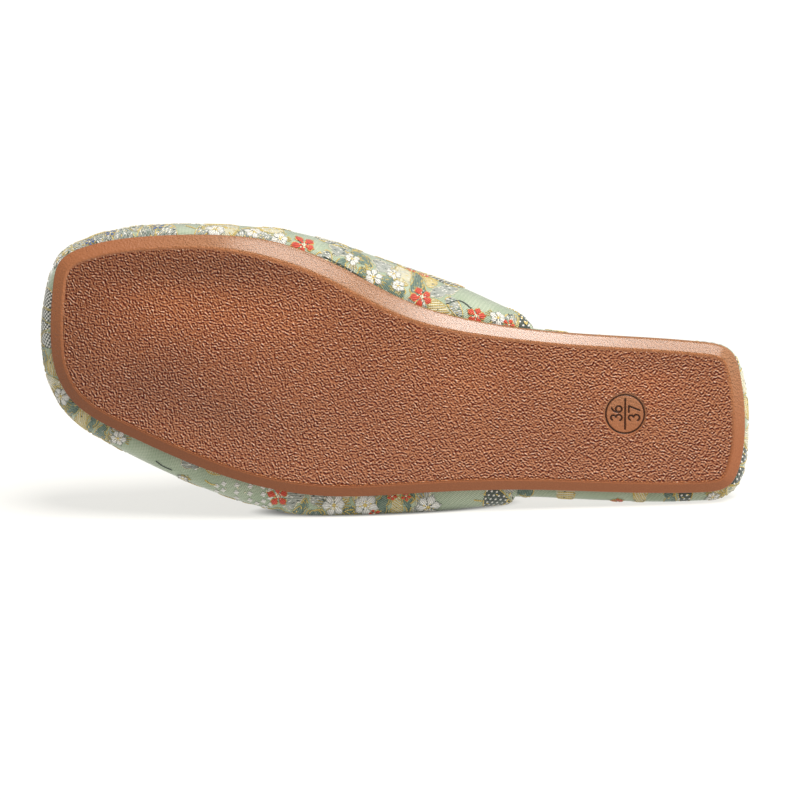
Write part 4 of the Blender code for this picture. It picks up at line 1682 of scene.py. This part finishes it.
def seam_tree():
    """Stitches along a line."""
    inputs = [("Pitch", "Float", SEAM_PITCH), ("Stitch", "Vector", SEAM_STITCH), ("Thread", "Material", None)]
    tree, given = new_tree("seam", inputs)
    nodes = Wire(tree)
    curve = nodes.node("GeometryNodeMeshToCurve", (), {0: given["Geometry"]})
    spacing = {"Curve": curve, "Length": given["Pitch"] * MM}
    even = nodes.node("GeometryNodeResampleCurve", {"mode": "LENGTH"}, spacing)
    bead = nodes.node("GeometryNodeMeshUVSphere", (), {"Segments": 8, "Rings": 6, "Radius": MM})
    tangent = nodes.node("GeometryNodeInputTangent")
    turn = nodes.node("FunctionNodeAlignRotationToVector", {"axis": "X"}, {"Vector": tangent})
    sockets = {"Points": even, "Instance": bead, "Rotation": turn, "Scale": given["Stitch"]}
    stitches = nodes.node("GeometryNodeInstanceOnPoints", (), sockets)
    close_tree(stitches, given["Thread"])
    return tree


def sew(name, line, closed, tree, thread):
    """A row of stitches along a line on the last."""
    piece = new_line(name, lay(line), closed)
    run_tree(piece, tree, {"Thread": thread})
    return piece


def sock_paint(nodes):
    """Pale linen with a plain weave."""
    flat = nodes.painted("flat", "Vector")
    slub = noise(flat, 0.5, 2.0) * 0.5
    warp = (flat.part("X") + slub).wave(0.9)
    weft = (flat.part("Y") + slub).wave(0.9)
    weave = warp * weft
    shade = noise(flat, 0.06, 2.0)
    tone = (weave * 0.6 + shade * 0.4).blend(linear(204, 188, 158), linear(236, 226, 202))
    return {"Base Color": tone, "Roughness": 0.75 + weave * 0.15, "Normal": bump(weave, 0.16, 0.7)}


# Light and floor

FLOOR_SPAN = 20.0
FLOOR_GLOW = 0.7
# A painted contact shadow on the floor, where the flank rests on it: its middle and reach in mm, and the
# share of the floor's colour and glow left there
PAINTED_SHADOW_MIDDLE = (-5.0, -16.0)
PAINTED_SHADOW_REACH = (46.0, 14.0)
PAINTED_SHADOW_LIGHT = 0.2


def add_softbox(name, way, angle_deg, power):
    """A far soft light that shines one way."""
    data = bpy.data.lights.new(name, "SUN")
    data.energy = power
    data.angle = math.radians(angle_deg)
    data.color = (1, 0.985, 0.96)
    put(name, data).rotation_euler = Vector(way).to_track_quat("-Z", "Y").to_euler()


def make_studio():
    """A plain pale lit floor with a painted contact shadow where the flank rests on it, under soft light from
    above and in front.
    """
    corners = [(x * FLOOR_SPAN, y * FLOOR_SPAN, 0) for x, y in ((-1, -1), (1, -1), (1, 1), (-1, 1))]
    floor = new_piece("floor", corners, [(0, 1, 2, 3)])

    def paint(nodes):
        place = nodes.node("ShaderNodeTexCoord", (), (), "Object")
        tone = noise(place, 0.5, 1.0) * 0.02
        along = (place.part("X") / MM - PAINTED_SHADOW_MIDDLE[0]) / PAINTED_SHADOW_REACH[0]
        across = (place.part("Y") / MM - PAINTED_SHADOW_MIDDLE[1]) / PAINTED_SHADOW_REACH[1]
        # Painted contact shadow: the floor's colour and glow fade under the flank.
        painted_shadow_factor = (along * along + across * across).step(0.6, 1.2) * (1 - PAINTED_SHADOW_LIGHT) + PAINTED_SHADOW_LIGHT
        pale = tone.blend((0.24, 0.237, 0.228, 1), (0.23, 0.227, 0.218, 1))
        glow = tone.blend((1.0, 0.99, 0.95, 1), (0.98, 0.97, 0.93, 1))
        return {"Base Color": pale.scaled(painted_shadow_factor), "Emission Color": glow.scaled(painted_shadow_factor)}

    finish = new_material("pale lit floor", paint, Roughness=0.9, Emission_Strength=FLOOR_GLOW)
    floor.data.materials.append(finish)
    world = bpy.data.worlds.new("studio")
    world.use_nodes = True
    sky = world.node_tree.nodes["Background"]
    sky.inputs["Color"].default_value = (1.0, 0.99, 0.96, 1)
    way = Wire(world.node_tree).node("ShaderNodeTexCoord", (), (), "Generated")
    world.node_tree.links.new((0.23 + way.part("X").step(-0.9, 0.9) * 0.36).socket, sky.inputs["Strength"])
    bpy.context.scene.world = world
    bpy.context.scene.view_settings.view_transform = "Standard"
    add_softbox("top softbox", (-0.3, 0.45, -1.0), 26, 4.1)
    add_softbox("side softbox", (-1.0, 0.3, -0.6), 70, 0.75)


make_camera()
make_studio()
soft_coat = {"Coat_Roughness": 0.2, "Coat_IOR": 1.8, "Specular_IOR_Level": 0.15}
rubber = new_material("brown sole rubber", rubber_paint, **soft_coat)
brocade = new_material("sage brocade", brocade_paint, Sheen_Weight=0.9, Sheen_Roughness=0.4)
sock = new_material("pale linen", sock_paint, Sheen_Weight=0.2)
finishes = {}
for thread, colours in THREADS.items():
    finishes[thread] = new_material(f"{thread} thread", thread_paint(*colours), Sheen_Weight=0.45)

outsole = make_outsole(rubber)
size_mark = make_size_mark(rubber)

grid = upper_grid()
grid_facing = facing(grid)
grid = grid + grid_facing * crease_height(grid[..., 0], grid[..., 1])[..., None]
cloth = upper_cloth(grid, grid_facing)
upper = cloth.solid("upper_brocade", CLOTH_THICKNESS, brocade)
lining = make_lining(grid, grid_facing, sock)
upper_threads = lay_chart(upper_chart(cloth), cloth, "upper_thread", finishes)

footbed, rim_cloth = make_footbed(brocade)
rim_threads = lay_chart(rim_chart(rim_cloth), rim_cloth, "footbed_thread", finishes)
insole = make_insole(sock)

seam = seam_tree()
collar_line = (grid + grid_facing * SEAM_LIFT)[1, MARGIN_STEPS + 3 : -MARGIN_STEPS - 3]
collar_seam = sew("upper_collar_seam", collar_line, False, seam, finishes["gold"])
seam_edge = insole_edge(even_places(INSOLE_NET), SEAM_INSET + INSOLE_PROFILE[-1][1])
seam_line = np.column_stack((seam_edge, insole_up(seam_edge[:, 0], SEAM_INSET) - SEAM_SINK + SEAM_LIFT))
insole_seam = sew("insole_seam", seam_line, True, seam, finishes["ivory"])

for sheet in (cloth.sheet, rim_cloth.sheet):
    bpy.data.objects.remove(sheet)
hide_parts("outsole")
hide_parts("upper")
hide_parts("footbed")
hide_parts("insole")
slots = {
    "sole_rubber": (outsole, size_mark),
    "brocade": (upper, footbed, collar_seam, *upper_threads, *rim_threads),
    "sock_cloth": (lining, insole, insole_seam),
}
for slot, pieces in slots.items():
    for piece in pieces:
        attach(piece, "root")
